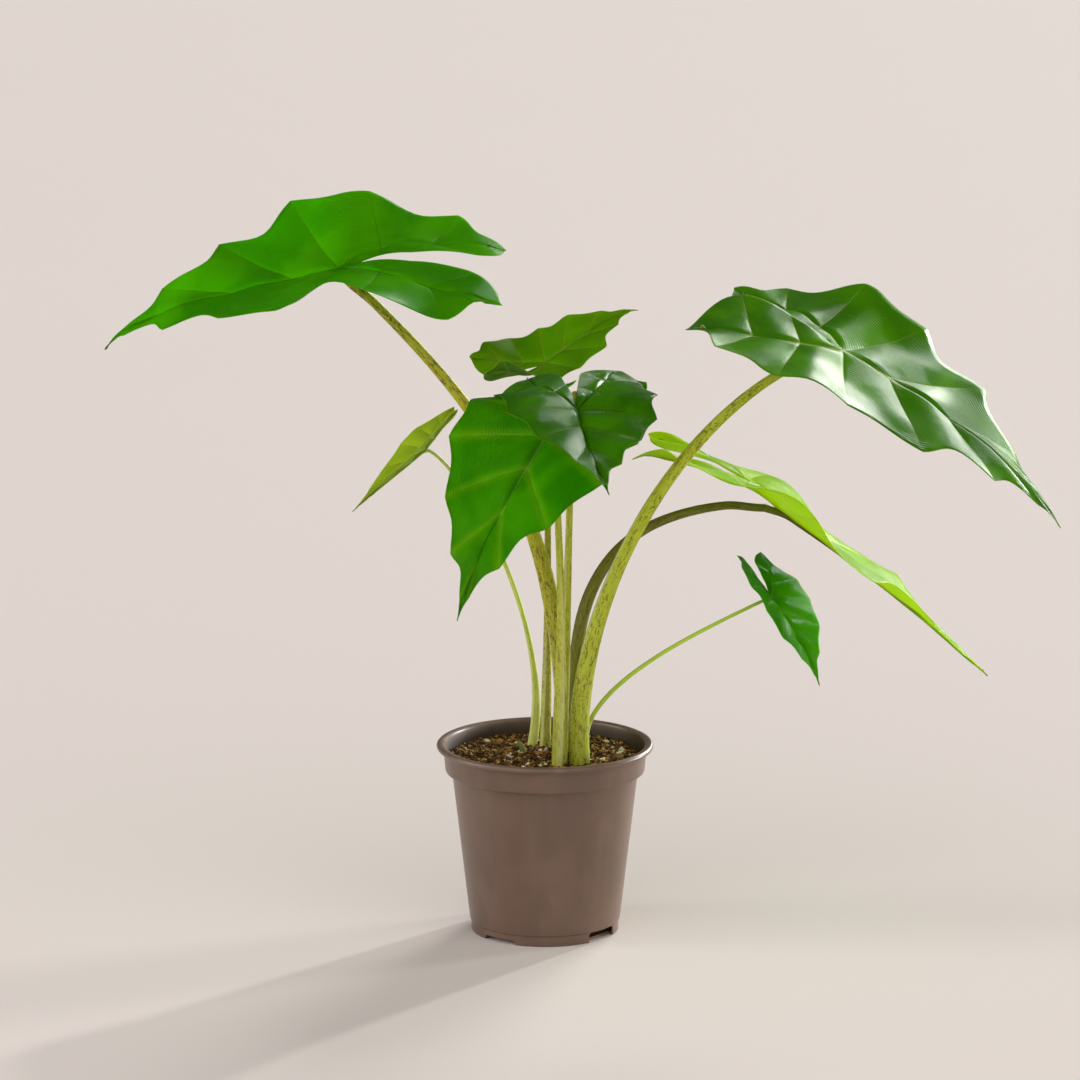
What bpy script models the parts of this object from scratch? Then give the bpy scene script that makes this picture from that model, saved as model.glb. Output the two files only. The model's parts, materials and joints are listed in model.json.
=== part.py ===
"""Potted alocasia: a round plastic nursery pot, its potting mix, a new shoot, and eight leaves on eight stalks.

Metres, +Z up. The origin is the middle of the pot's base, on the floor. The front of the plant faces -Y.
Every stalk stands in its own pocket in the soil, and every leaf blade hangs on the end of its own stalk.
"""

from math import cos, pi, radians, sin, tan, tau

import bmesh
import bpy
import numpy as np
from mathutils import Matrix, Vector
from mathutils.bvhtree import BVHTree

# ---------------------------------------------------------------- pot
POT_HEIGHT = 0.168
RIM_RADIUS = 0.095  # outside of the rolled lip
BASE_RADIUS = 0.0660  # outside of the wall, just above the foot
WALL = 0.0018
FLOOR_THICKNESS = 0.0022
LIP_OUT = 0.0058  # how far the lip stands out from the collar
LIP_DEPTH = 0.0052
COLLAR_HEIGHT = 0.026  # from the rim down to the collar's lower edge
COLLAR_DRAFT = 0.0018  # how much narrower the collar is at its lower edge
COLLAR_STEP = 0.0059  # how far the wall is set back under the collar
FOOT_HEIGHT = 0.0100
FOOT_STEP = 0.0012  # how far the foot band is set back from the wall
NOTCH_WIDTH = 0.034
NOTCH_HEIGHT = 0.0105
NOTCH_REACH = 0.009  # how far a drainage notch reaches in from the outside
NOTCH_COUNT = 4
NOTCH_TURN = 6.5  # degrees that the notches are turned from the diagonals
POT_SEGMENTS = 48

# ---------------------------------------------------------------- soil
SOIL_BELOW_RIM = 0.0135
SOIL_CROWN = 0.0030  # how much the soil rises around the stalks
SOIL_UNEVEN = 0.0013
POCKET_DEPTH = 0.030  # how deep the stalks stand in the soil
GAP = 0.0004  # clearance between pieces that touch

# ---------------------------------------------------------------- plant
PLANT_SCALE = 1.0  # spread and height of the whole plant, and the size of its leaves
LEAF_THICKNESS = 0.0008
RIB_THICKNESS = 0.0026  # blade and rib together, along the midrib and the two lobe ribs
STALK_SIDES = 8
STALK_POINTS = 15
RIB_SHARE = 0.10  # how far out from the rib, as a share of the half blade, its thickening ends

# The flat half blade, for a blade whose front part is 1 long. The hub is at (0, 0) and the tip at (0, 1).
FRONT_MARGIN = ((0, 1), (0.012, 0.93), (0.046, 0.83), (0.128, 0.69), (0.235, 0.53), (0.335, 0.36), (0.41, 0.16))
LOBE_MARGIN = ((0.41, 0.16), (0.445, 0), (0.445, -0.17), (0.405, -0.34), (0.34, -0.48), (0.27, -0.58))
SINUS_MARGIN = ((0.27, -0.58), (0.205, -0.55), (0.15, -0.44), (0.10, -0.30), (0.05, -0.17), (0, -0.07))
LOBE_RIB_END = (0.243, -0.522)
HALF_WIDTH = 0.45
FRONT_ROWS, LOBE_ROWS = 8, 6
FRONT_VEINS, LOBE_VEINS, SINUS_VEINS = 4, 3, 2

# Each leaf: where its hub is (x, y, height over the soil), which way it points (heading from +X, pitch up,
# roll), how long its front part is, and how its blade is bent. Angles are in degrees. In "fold", "lobe_fold",
# "curl" and "sinus" the first value is the leaf's right half and the second its left half. "sinus" is how far
# apart the lobes stand, where 1 is wide open and 0 is closed.
LEAVES = {
    "high_left": dict(
        hub=(-0.180, 0.040, 0.428), heading=176, pitch=-15, roll=-12, length=0.222, width=1.05, lobe=1.15,
        fold=(2, 3), lobe_fold=(-14, -18), curl=(30, 16), droop=-6, hook=42, back=46, sweep=-1, twist=14,
        scallop=0.028, ruffle=0.020, sinus=(0.80, 0.35)),
    "high_right": dict(
        hub=(0.256, -0.029, 0.369), heading=-17, pitch=-27, roll=8, length=0.244, width=1.01, lobe=0.88,
        fold=(-6, -10), lobe_fold=(-11, -22), curl=(15, 33), droop=14, hook=16, back=35, sweep=2, twist=-4,
        scallop=0.026, ruffle=0.018, sinus=(-0.50, 0.75)),
    "hanging_front": dict(
        hub=(0.001, -0.084, 0.303), heading=224, pitch=-44, roll=2.5, length=0.179, width=1.12, lobe=0.78,
        fold=(22.5, 2), lobe_fold=(-20, -5), curl=(-13, -17), droop=21, hook=4, back=21, sweep=4, twist=-1,
        scallop=0.018, ruffle=0.010, sinus=(0.85, 0.85)),
    "upper_front": dict(
        hub=(0.027, -0.161, 0.341), heading=278, pitch=-22, roll=19, length=0.140, width=1.07, lobe=1.24,
        fold=(42, -2.5), lobe_fold=(14, -11), curl=(-24, -25), droop=-9, hook=15, back=39, sweep=-7, twist=4.5,
        scallop=0.018, ruffle=0.012, sinus=(0.40, 0.40)),
    "young_top": dict(
        hub=(0.000, 0.034, 0.346), heading=13.5, pitch=30.5, roll=5, length=0.098, width=1.11, lobe=1.12,
        fold=(-8, 21.5), lobe_fold=(37, 50), curl=(5, -14), droop=-2.5, hook=39, back=-38, sweep=-15, twist=-10,
        scallop=0.024, ruffle=0.016, sinus=(0.50, 0.50)),
    "low_right": dict(
        hub=(0.204, 0.064, 0.2137), heading=347, pitch=-35, roll=-11, length=0.239, width=1.01, lobe=0.95,
        fold=(4, 6), lobe_fold=(-4, 7), curl=(6, -9), droop=3, hook=4, back=52, sweep=3, twist=2,
        scallop=0.030, ruffle=0.034, sinus=(0.7, 0.7)),
    "small_left": dict(
        hub=(-0.105, 0.055, 0.2655), heading=192, pitch=-42, roll=4, length=0.085, width=1.01, lobe=0.88,
        fold=(19, 17), lobe_fold=(12, 24), curl=(-5, -2), droop=-9, hook=14, back=0, sweep=2, twist=-5,
        scallop=0.010, ruffle=0.006, sinus=(0.8, 0.8)),
    "small_right": dict(
        hub=(0.199, 0.048, 0.1335), heading=326, pitch=-49, roll=-6, length=0.090, width=1.16, lobe=0.82,
        fold=(15, 19), lobe_fold=(15, 5), curl=(1, -18), droop=8, hook=12, back=-10, sweep=-1, twist=-17,
        scallop=0.014, ruffle=0.008, sinus=(0.5, 0.5)),
}

# Each stalk: where it leaves the soil (x, y), how it sets off (lean from upright towards +X and +Y, in
# degrees), which way it travels as it reaches the hub (azimuth from +X, and elevation), how strongly each
# end holds its direction, as a share of the straight distance, and its diameters at the sheath, the top of
# the sheath and the hub. "sheath" is how much of the stalk's length the clasping sheath takes.
STALKS = {
    "high_left": dict(foot=(0.021, 0.014), lean=(-2, -0.5), rise=0.51, azimuth=170, elevation=43, reach=0.34,
                      thick=(0.0170, 0.0112, 0.0076), sheath=0.46),
    "high_right": dict(foot=(0.031, -0.030), lean=(-4.5, 0), rise=0.36, azimuth=0, elevation=12, reach=0.29,
                       thick=(0.0172, 0.0112, 0.0064), sheath=0.48),
    "hanging_front": dict(foot=(0.013, -0.034), lean=(1, -0.5), rise=0.40, azimuth=-100, elevation=35, reach=0.31,
                          thick=(0.0140, 0.0064, 0.0052), sheath=0.45),
    "upper_front": dict(foot=(0.0150, -0.0140), lean=(2, 1), rise=0.60, azimuth=-88, elevation=-13, reach=0.39,
                        thick=(0.0096, 0.0058, 0.0048), sheath=0.42),
    "young_top": dict(foot=(0.0005, 0.0290), lean=(1.5, 0.5), rise=0.35, azimuth=110, elevation=85, reach=0.27,
                      thick=(0.0098, 0.0060, 0.0046), sheath=0.40),
    "low_right": dict(foot=(0.0280, -0.002), lean=(-4, 0), rise=0.49, azimuth=10, elevation=-3, reach=0.60,
                      thick=(0.0130, 0.0108, 0.0068), sheath=0.40),
    "small_left": dict(foot=(-0.0115, 0.036), lean=(12, 0), rise=0.37, azimuth=164, elevation=23, reach=0.15,
                       thick=(0.0085, 0.0045, 0.0028), sheath=0.35),
    "small_right": dict(foot=(0.0370, 0.012), lean=(-14.5, -1), rise=0.29, azimuth=15, elevation=24, reach=0.26,
                        thick=(0.0070, 0.0042, 0.0028), sheath=0.20),
}

SHOOT_FOOT = (-0.018, 0.008)
SHOOT_HEIGHT = 0.013
SHOOT_DIAMETER = 0.0075
SHOOT_LEAN = (-28, 0)

# Loose bits that lie on the soil: what it is, where (angle in degrees from +X, and share of the way from the
# middle to the wall), its length, and its turn in degrees.
LOOSE_BITS = (
    ("perlite", -128, 0.78, 0.0060, 20),
    ("perlite", -112, 0.46, 0.0045, 75),
    ("perlite", -47, 0.80, 0.0055, 130),
    ("perlite", -20, 0.62, 0.0050, 10),
    ("perlite", 14, 0.80, 0.0060, 60),
    ("perlite", 42, 0.84, 0.0045, 95),
    ("perlite", 137, 0.80, 0.0055, 40),
    ("perlite", 218, 0.80, 0.0050, 150),
    ("bark_chip", -137, 0.86, 0.0110, 35),
    ("bark_chip", -40, 0.72, 0.0130, 165),
    ("bark_chip", -5, 0.78, 0.0100, 80),
    ("bark_chip", 30, 0.72, 0.0120, 20),
    ("bark_chip", 50, 0.74, 0.0095, 110),
    ("bark_chip", 130, 0.72, 0.0120, 60),
)


def smoothstep(share):
    share = np.clip(share, 0, 1)
    return share * share * (3 - 2 * share)


def curve_through(points, shares):
    """Points of a smooth curve (Catmull-Rom) through the given points, at shares 0 to 1 of its run."""
    points = np.array(points, float)
    points = np.vstack([2 * points[0] - points[1], points, 2 * points[-1] - points[-2]])
    spans = len(points) - 3
    place = np.clip(np.asarray(shares) * spans, 0, spans - 1e-9)
    first = place.astype(int)
    part = (place - first)[:, None]
    a, b, c, d = (points[first + step] for step in range(4))
    return 0.5 * (
        2 * b + (c - a) * part + (2 * a - 5 * b + 4 * c - d) * part**2 + (3 * b - a - 3 * c + d) * part**3
    )


def material(name, colour, roughness):
    made = bpy.data.materials.new(name)
    made.use_nodes = True
    shader = made.node_tree.nodes["Principled BSDF"]
    shader.inputs["Base Color"].default_value = (*colour, 1)
    shader.inputs["Roughness"].default_value = roughness
    shader.inputs["Metallic"].default_value = 0
    return made


def add_object(name, mesh, look, parent):
    obj = bpy.data.objects.new(name, mesh)
    bpy.context.scene.collection.objects.link(obj)
    obj.parent = parent
    if look:
        mesh.materials.append(look)
    return obj


def add_empty(name, location, parent=None):
    empty = bpy.data.objects.new(name, None)
    empty.location = location
    empty.parent = parent
    bpy.context.scene.collection.objects.link(empty)
    return empty


def mesh_from_bmesh(name, shape, smooth_angle=40):
    bmesh.ops.recalc_face_normals(shape, faces=shape.faces)
    mesh = bpy.data.meshes.new(name)
    shape.to_mesh(mesh)
    shape.free()
    mesh.shade_smooth()
    mesh.set_sharp_from_angle(angle=radians(smooth_angle))
    return mesh


def turned(profile, segments, height_at=None):
    """A closed solid turned about Z from (radius, z) points that start and end on the axis."""
    shape = bmesh.new()
    rings = []
    for radius, z in profile:
        if radius < 1e-6:
            rings.append([shape.verts.new((0, 0, z + (height_at(0, 0) if height_at else 0)))])
            continue
        ring = []
        for step in range(segments):
            x, y = radius * cos(tau * step / segments), radius * sin(tau * step / segments)
            ring.append(shape.verts.new((x, y, z + (height_at(x, y) if height_at else 0))))
        rings.append(ring)
    for low, high in zip(rings, rings[1:]):
        for step in range(segments):
            after = (step + 1) % segments
            corners = [low[step % len(low)], low[after % len(low)], high[after % len(high)], high[step % len(high)]]
            unique = list(dict.fromkeys(corners))
            if len(unique) > 2:
                shape.faces.new(unique)
    return shape


def cut(target, cutter):
    """Takes the cutter's shape out of the target."""
    cutter.hide_render = True
    cutter.display_type = "WIRE"
    modifier = target.modifiers.new(cutter.name, "BOOLEAN")
    modifier.operation = "DIFFERENCE"
    modifier.solver = "EXACT"
    modifier.object = cutter


# ---------------------------------------------------------------- pot and soil
def wall_radius(z):
    """Outside radius of the pot's plain tapered wall at height z."""
    top = POT_HEIGHT - COLLAR_HEIGHT
    top_radius = RIM_RADIUS - LIP_OUT - COLLAR_DRAFT - COLLAR_STEP
    return BASE_RADIUS + (top_radius - BASE_RADIUS) * (z - FOOT_HEIGHT) / (top - FOOT_HEIGHT)


def collar_radius(z):
    """Outside radius of the collar at height z."""
    low = POT_HEIGHT - COLLAR_HEIGHT
    top_radius = RIM_RADIUS - LIP_OUT
    return top_radius - COLLAR_DRAFT * (POT_HEIGHT - z) / (POT_HEIGHT - low)


def make_pot(parent):
    collar_low = POT_HEIGHT - COLLAR_HEIGHT
    lip_low = POT_HEIGHT - LIP_DEPTH
    foot_radius = BASE_RADIUS - FOOT_STEP
    inner_step = collar_low + WALL
    outside = [
        (0, 0),
        (foot_radius * 0.5, 0),
        (foot_radius - 0.0008, 0),
        (foot_radius, 0.0008),
        (foot_radius, FOOT_HEIGHT - FOOT_STEP),
        (wall_radius(FOOT_HEIGHT), FOOT_HEIGHT),
        (wall_radius(collar_low * 0.5), collar_low * 0.5),
        (wall_radius(collar_low), collar_low),
        (collar_radius(collar_low) - 0.0015, collar_low + 0.0004),
        (collar_radius(collar_low + 0.002), collar_low + 0.002),
        (collar_radius(lip_low), lip_low),
        (RIM_RADIUS - 0.0015, lip_low + 0.0002),
        (RIM_RADIUS, lip_low + LIP_DEPTH * 0.35),
        (RIM_RADIUS - 0.0003, POT_HEIGHT - LIP_DEPTH * 0.25),
        (RIM_RADIUS - 0.0020, POT_HEIGHT),
    ]
    inside = [
        (RIM_RADIUS - LIP_OUT + 0.0006, POT_HEIGHT),
        (collar_radius(POT_HEIGHT - 0.0016) - WALL, POT_HEIGHT - 0.0016),
        (collar_radius(inner_step) - WALL, inner_step + 0.0020),
        (wall_radius(inner_step - 0.0020) - WALL, inner_step - 0.0020),
        (wall_radius(collar_low * 0.5) - WALL, collar_low * 0.5),
        (wall_radius(FOOT_HEIGHT) - WALL, FOOT_HEIGHT + 0.0010),
        (foot_radius - WALL, FOOT_HEIGHT - 0.0010),
        (foot_radius - WALL, FLOOR_THICKNESS),
        (foot_radius * 0.5, FLOOR_THICKNESS),
        (0, FLOOR_THICKNESS),
    ]
    mesh = mesh_from_bmesh("nursery_pot", turned(outside + inside, POT_SEGMENTS), 30)
    pot = add_object("nursery_pot", mesh, material("taupe plastic", (0.165, 0.120, 0.083), 0.5), parent)
    for number in range(NOTCH_COUNT):
        turn = -pi / 2 + tau * (number + 0.5) / NOTCH_COUNT + radians(NOTCH_TURN)
        shape = bmesh.new()
        bmesh.ops.create_cube(shape, size=1)
        reach = NOTCH_REACH + 0.010
        bmesh.ops.scale(shape, vec=(reach, NOTCH_WIDTH, 2 * NOTCH_HEIGHT), verts=shape.verts)
        cutter = add_object(f"notch_{number + 1}", mesh_from_bmesh("notch", shape), None, parent)
        middle = BASE_RADIUS - NOTCH_REACH + reach / 2
        cutter.location = (middle * cos(turn), middle * sin(turn), 0)
        cutter.rotation_euler = (0, 0, turn)
        cut(pot, cutter)
    return pot


def soil_rise(x, y):
    """How far the soil stands over its level at (x, y): a low crown at the stalks, and small waves."""
    away = (x * x + y * y) / (0.045 * 0.045)
    waves = sin(95 * x + 1.3) * cos(120 * y - 0.4) + 0.6 * sin(170 * x - 210 * y + 0.8)
    return SOIL_CROWN * 2.718281828 ** (-away) + SOIL_UNEVEN * waves


def make_soil(parent):
    level = POT_HEIGHT - SOIL_BELOW_RIM
    collar_low = POT_HEIGHT - COLLAR_HEIGHT
    foot_radius = BASE_RADIUS - FOOT_STEP
    top_radius = collar_radius(level - 0.004) - WALL - GAP
    step = collar_low + WALL
    profile = [
        (0, FLOOR_THICKNESS + GAP),
        (foot_radius - WALL - GAP, FLOOR_THICKNESS + GAP),
        (foot_radius - WALL - GAP, FOOT_HEIGHT - 0.0006),
        (wall_radius(FOOT_HEIGHT) - WALL - GAP, FOOT_HEIGHT + 0.0016),
        (wall_radius(step - 0.0026) - WALL - GAP, step - 0.0020),
        (collar_radius(step) - WALL - GAP - 0.0002, step + 0.0026),
    ]
    shape = turned(profile + [(0, step + 0.0026)], POT_SEGMENTS)
    for face in [face for face in shape.faces if all(abs(vert.co.z - step - 0.0026) < 1e-6 for vert in face.verts)]:
        shape.faces.remove(face)
    for vert in [vert for vert in shape.verts if not vert.link_faces]:
        shape.verts.remove(vert)
    edge = [vert for vert in shape.verts if abs(vert.co.z - step - 0.0026) < 1e-6]
    edge.sort(key=lambda vert: np.arctan2(vert.co.y, vert.co.x) % tau)
    low = edge
    for share in (1.0, 0.86, 0.70, 0.54, 0.40, 0.28, 0.16):
        ring = []
        for number in range(POT_SEGMENTS):
            angle = tau * number / POT_SEGMENTS
            x, y = share * top_radius * cos(angle), share * top_radius * sin(angle)
            ring.append(shape.verts.new((x, y, level + soil_rise(x, y))))
        for number in range(POT_SEGMENTS):
            after = (number + 1) % POT_SEGMENTS
            shape.faces.new((low[number], low[after], ring[after], ring[number]))
        low = ring
    middle = shape.verts.new((0, 0, level + soil_rise(0, 0)))
    for number in range(POT_SEGMENTS):
        shape.faces.new((low[number], low[(number + 1) % POT_SEGMENTS], middle))
    look = material("potting mix", (0.062, 0.036, 0.018), 0.95)
    return add_object("potting_soil", mesh_from_bmesh("potting_soil", shape, 60), look, parent)


# ---------------------------------------------------------------- leaves
def half_blade(leaf, which):
    """One flat half of a blade: points in rows that run from the rib out to the margin, and each point's
    share of the way out and place along the side veins."""
    front = np.linspace(0, 1, FRONT_ROWS + 1)
    lobe = np.linspace(0, 1, LOBE_ROWS + 1)[1:]
    sinus = lobe
    inside = curve_through(SINUS_MARGIN, sinus)
    inside[:, 0] *= 1 - (1 - leaf["sinus"][which]) * smoothstep(sinus / 0.4)
    margin = np.vstack([curve_through(FRONT_MARGIN, front), curve_through(LOBE_MARGIN, lobe), inside])
    end = np.array(LOBE_RIB_END)

    def lobe_rib(share):
        share = share[:, None]
        return end * share + np.array([0.14, 0.12]) * share * (1 - share)

    rib = np.vstack([np.stack([0 * front, 1 - front], 1), lobe_rib(lobe), lobe_rib(1 - sinus)])
    veins = np.concatenate([
        FRONT_VEINS * front, FRONT_VEINS + LOBE_VEINS * lobe, FRONT_VEINS + LOBE_VEINS + SINUS_VEINS * sinus
    ])
    inner = smoothstep((veins - 0.6) / 1.2) * (1 - smoothstep((veins - FRONT_VEINS - LOBE_VEINS + 0.6) / 0.8))
    outward = margin - rib
    outward /= np.maximum(np.linalg.norm(outward, axis=1), 1e-6)[:, None]
    margin = margin + outward * (leaf["scallop"] * inner * np.cos(tau * veins))[:, None]
    for line in (margin, rib):
        line[:, 0] *= leaf["width"]
        line[:, 1] *= np.where(line[:, 1] < 0, leaf["lobe"], 1)
    shares = np.array([0, RIB_SHARE, 0.52, 1.0])
    x = rib[:, :1] + (margin[:, :1] - rib[:, :1]) * shares
    y = rib[:, 1:] + (margin[:, 1:] - rib[:, 1:]) * shares
    return x, y, np.broadcast_to(veins[:, None], x.shape), np.broadcast_to(shares, x.shape)


def midline(leaf, steps=48):
    """The bent line that the blade follows, along y from -1 to 1: its points, and its right and up directions."""
    y = np.linspace(-1, 1, 2 * steps + 1)
    ahead = np.clip(y, 0, 1)
    behind = np.clip(-y, 0, 1)
    rise = np.radians(leaf["back"] * behind - leaf["droop"] * ahead - leaf["hook"] * ahead**4)
    turn = np.radians(leaf["sweep"] * ahead)
    twist = np.radians(leaf["twist"] * ahead)[:, None]
    forward = np.stack([np.sin(turn) * np.cos(rise), np.cos(turn) * np.cos(rise), np.sin(rise)], 1)
    right = np.stack([np.cos(turn), -np.sin(turn), 0 * turn], 1)
    up = np.cross(right, forward)
    right, up = right * np.cos(twist) + up * np.sin(twist), up * np.cos(twist) - right * np.sin(twist)
    steps_between = (forward[1:] + forward[:-1]) / 2 * (y[1] - y[0])
    points = np.vstack([np.zeros(3), np.cumsum(steps_between, 0)])
    return y, points - points[steps], right, up


def bent_half(leaf, side):
    """The points of one half of the blade in the leaf's own frame: X right, Y forward, Z up, hub at 0."""
    which = 0 if side > 0 else 1
    x, y, veins, shares = half_blade(leaf, which)
    line_y, line_points, line_right, line_up = midline(leaf)
    back = smoothstep(-y / HALF_WIDTH)
    fold = leaf["fold"][which] * (1 - back) + leaf["lobe_fold"][which] * back
    angle = np.radians(fold + 0.5 * leaf["curl"][which] * np.abs(x) / HALF_WIDTH)
    ruffle = leaf["ruffle"] * np.sin(pi * veins + 0.7 * side) * shares**1.5 * np.clip(1.6 * np.abs(x) / HALF_WIDTH, 0, 1)
    across = side * x * np.cos(angle)
    lift = x * np.sin(angle) + ruffle

    def along(values):
        return np.stack([np.interp(y, line_y, values[:, axis]) for axis in range(3)], -1)

    points = along(line_points) + across[..., None] * along(line_right) + lift[..., None] * along(line_up)
    return points * leaf["length"] * PLANT_SCALE, shares


def leaf_rotation(leaf):
    """Turns the leaf's own frame to its heading, pitch and roll."""
    heading, pitch = radians(leaf["heading"]), radians(leaf["pitch"])
    forward = Vector((cos(heading) * cos(pitch), sin(heading) * cos(pitch), sin(pitch)))
    right = Vector((sin(heading), -cos(heading), 0))
    up = right.cross(forward)
    frame = Matrix((right, forward, up)).transposed()
    return Matrix.Rotation(radians(leaf["roll"]), 3, forward) @ frame


def make_leaf(name, leaf, look, parent):
    shape = bmesh.new()
    weights = []
    for side in (1, -1):
        points, shares = bent_half(leaf, side)
        grid = [[shape.verts.new(point) for point in row] for row in points]
        weights.extend((1 - np.clip(shares / RIB_SHARE, 0, 1)).reshape(-1))
        for row, after in zip(grid, grid[1:]):
            for column in range(len(row) - 1):
                corners = (row[column], row[column + 1], after[column + 1], after[column])
                shape.faces.new(corners if side > 0 else corners[::-1])
    layer = shape.verts.layers.deform.new()
    for vert, weight in zip(shape.verts, weights):
        vert[layer][0] = float(weight)
    bmesh.ops.remove_doubles(shape, verts=shape.verts, dist=0.00005)
    mesh = bpy.data.meshes.new(f"leaf_{name}")
    shape.to_mesh(mesh)
    shape.free()
    mesh.shade_smooth()
    obj = add_object(f"leaf_{name}", mesh, look, parent)
    obj.vertex_groups.new(name="rib")
    obj.location = Vector(leaf["hub"]) * PLANT_SCALE
    obj.rotation_euler = leaf_rotation(leaf).to_euler()
    solid = obj.modifiers.new("thickness", "SOLIDIFY")
    solid.thickness = RIB_THICKNESS
    solid.offset = 1 if mesh.polygons[0].normal.z < 0 else -1
    solid.vertex_group = "rib"
    solid.thickness_vertex_group = LEAF_THICKNESS / RIB_THICKNESS
    return obj


# ---------------------------------------------------------------- stalks
def stalk_path(stalk, leaf, shares):
    """Points along a stalk, measured from the soil's middle: a Bezier curve from the foot to the hub."""
    foot = np.array([*stalk["foot"], 0.0])
    hub = np.array(leaf["hub"])
    reach = np.linalg.norm(hub - foot)
    lean = np.array([tan(radians(stalk["lean"][0])), tan(radians(stalk["lean"][1])), 1])
    azimuth, elevation = radians(stalk["azimuth"]), radians(stalk["elevation"])
    travel = np.array([cos(azimuth) * cos(elevation), sin(azimuth) * cos(elevation), sin(elevation)])
    start = foot + reach * stalk["rise"] * lean
    finish = hub - reach * stalk["reach"] * travel
    t = np.asarray(shares)[:, None]
    points = (1 - t)**3 * foot + 3 * (1 - t)**2 * t * start + 3 * (1 - t) * t * t * finish + t**3 * hub
    points = points * PLANT_SCALE
    points[:, :2] += np.array(stalk["foot"]) * (1 - PLANT_SCALE) * (1 - t)
    return points


def stalk_radii(stalk, shares):
    """Radius along the stalk: a wide sheath that narrows to the stalk, and a slow taper up to the hub."""
    shares = np.asarray(shares)
    wide, middle, thin = (value / 2 for value in stalk["thick"])
    up = smoothstep(shares / stalk["sheath"])
    slender = middle + (thin - middle) * np.clip((shares - stalk["sheath"]) / (1 - stalk["sheath"]), 0, 1)
    return wide * (1 - up) + slender * up


def tube(points, radii, sides):
    """A closed tube with flat ends along the points."""
    shape = bmesh.new()
    points = [Vector(point) for point in points]
    normal = Vector((0, 1, 0))
    rings = []
    for number, point in enumerate(points):
        before, after = points[max(number - 1, 0)], points[min(number + 1, len(points) - 1)]
        forward = (after - before).normalized()
        normal = (normal - forward * normal.dot(forward)).normalized()
        across = forward.cross(normal)
        ring = []
        for step in range(sides):
            angle = tau * (step + 0.5) / sides
            out = across * cos(angle) + normal * sin(angle)
            ring.append(shape.verts.new(point + out * radii[number]))
        rings.append(ring)
    for low, high in zip(rings, rings[1:]):
        for step in range(sides):
            after = (step + 1) % sides
            shape.faces.new((low[step], low[after], high[after], high[step]))
    shape.faces.new(rings[0][::-1])
    shape.faces.new(rings[-1])
    return shape


def surface_tree(obj):
    """The evaluated surface of an object, in world space."""
    graph = bpy.context.evaluated_depsgraph_get()
    evaluated = obj.evaluated_get(graph)
    shape = bmesh.new()
    shape.from_mesh(evaluated.to_mesh())
    shape.transform(evaluated.matrix_world)
    tree = BVHTree.FromBMesh(shape)
    shape.free()
    return tree


def clear_end(stalk, leaf, tree, soil_middle):
    """The share of the stalk's run where its flat end comes to rest just under the leaf."""
    end = 1.0
    length = np.linalg.norm(np.array(leaf["hub"])) * PLANT_SCALE
    while end > 0.8:
        shares = np.array([end - 0.03, end - 0.015, end])
        points = stalk_path(stalk, leaf, shares) + soil_middle
        radii = stalk_radii(stalk, shares)
        shape = tube(points, radii, 16)
        near = [tree.find_nearest(vert.co)[3] for vert in shape.verts]
        crossing = BVHTree.FromBMesh(shape).overlap(tree)
        shape.free()
        if not crossing and min(near) > GAP:
            return end
        end -= 0.0004 / length
    return end


def stalk_run(stalk, leaf, end):
    """Points and radii from the bottom of the pocket up to the end under the leaf."""
    shares = end * np.linspace(0, 1, STALK_POINTS) ** 1.15
    points = stalk_path(stalk, leaf, shares)
    radii = stalk_radii(stalk, shares)
    first = points[1] - points[0]
    below = points[0] - first / first[2] * POCKET_DEPTH
    return np.vstack([below, points]), np.concatenate([[radii[0] * 0.92], radii])


def pocket(name, foot, direction, radii, depth, soil, parent):
    """Cuts the pocket that a stalk stands in, with its clearance."""
    reach = Vector(direction) / direction[2]
    down, over = depth + GAP, 0.012
    low, high = Vector(foot) - reach * down, Vector(foot) + reach * over
    middle = Vector(foot)
    slim, wide = radii
    shape = tube([low, middle, high], [slim + GAP * 1.4, wide + GAP * 1.4, wide + GAP * 1.4], STALK_SIDES)
    cut(soil, add_object(f"pocket_{name}", mesh_from_bmesh("pocket", shape), None, parent))


def make_shoot(soil, look, parent):
    foot = np.array([*SHOOT_FOOT, 0.0])
    lean = np.array([tan(radians(SHOOT_LEAN[0])), tan(radians(SHOOT_LEAN[1])), 1])
    heights = np.array([-0.010, 0, 0.35 * SHOOT_HEIGHT, 0.7 * SHOOT_HEIGHT, SHOOT_HEIGHT])
    points = foot + heights[:, None] * lean
    radii = SHOOT_DIAMETER / 2 * np.array([0.8, 1.0, 0.86, 0.55, 0.12])
    mesh = mesh_from_bmesh("new_shoot", tube(points, radii, STALK_SIDES))
    add_object("new_shoot", mesh, look, parent)
    pocket("new_shoot", foot, lean, radii[:2], 0.010, soil, parent)


def settled_height(points, ground, place):
    """How high a shape made of these points lies at this place, when it rests just clear of the ground."""
    above = Vector((*place, POT_HEIGHT))
    drops = [ground.ray_cast(above + point, (0, 0, -1))[3] for point in points]
    return POT_HEIGHT - min(drop for drop in drops if drop is not None) + GAP


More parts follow.
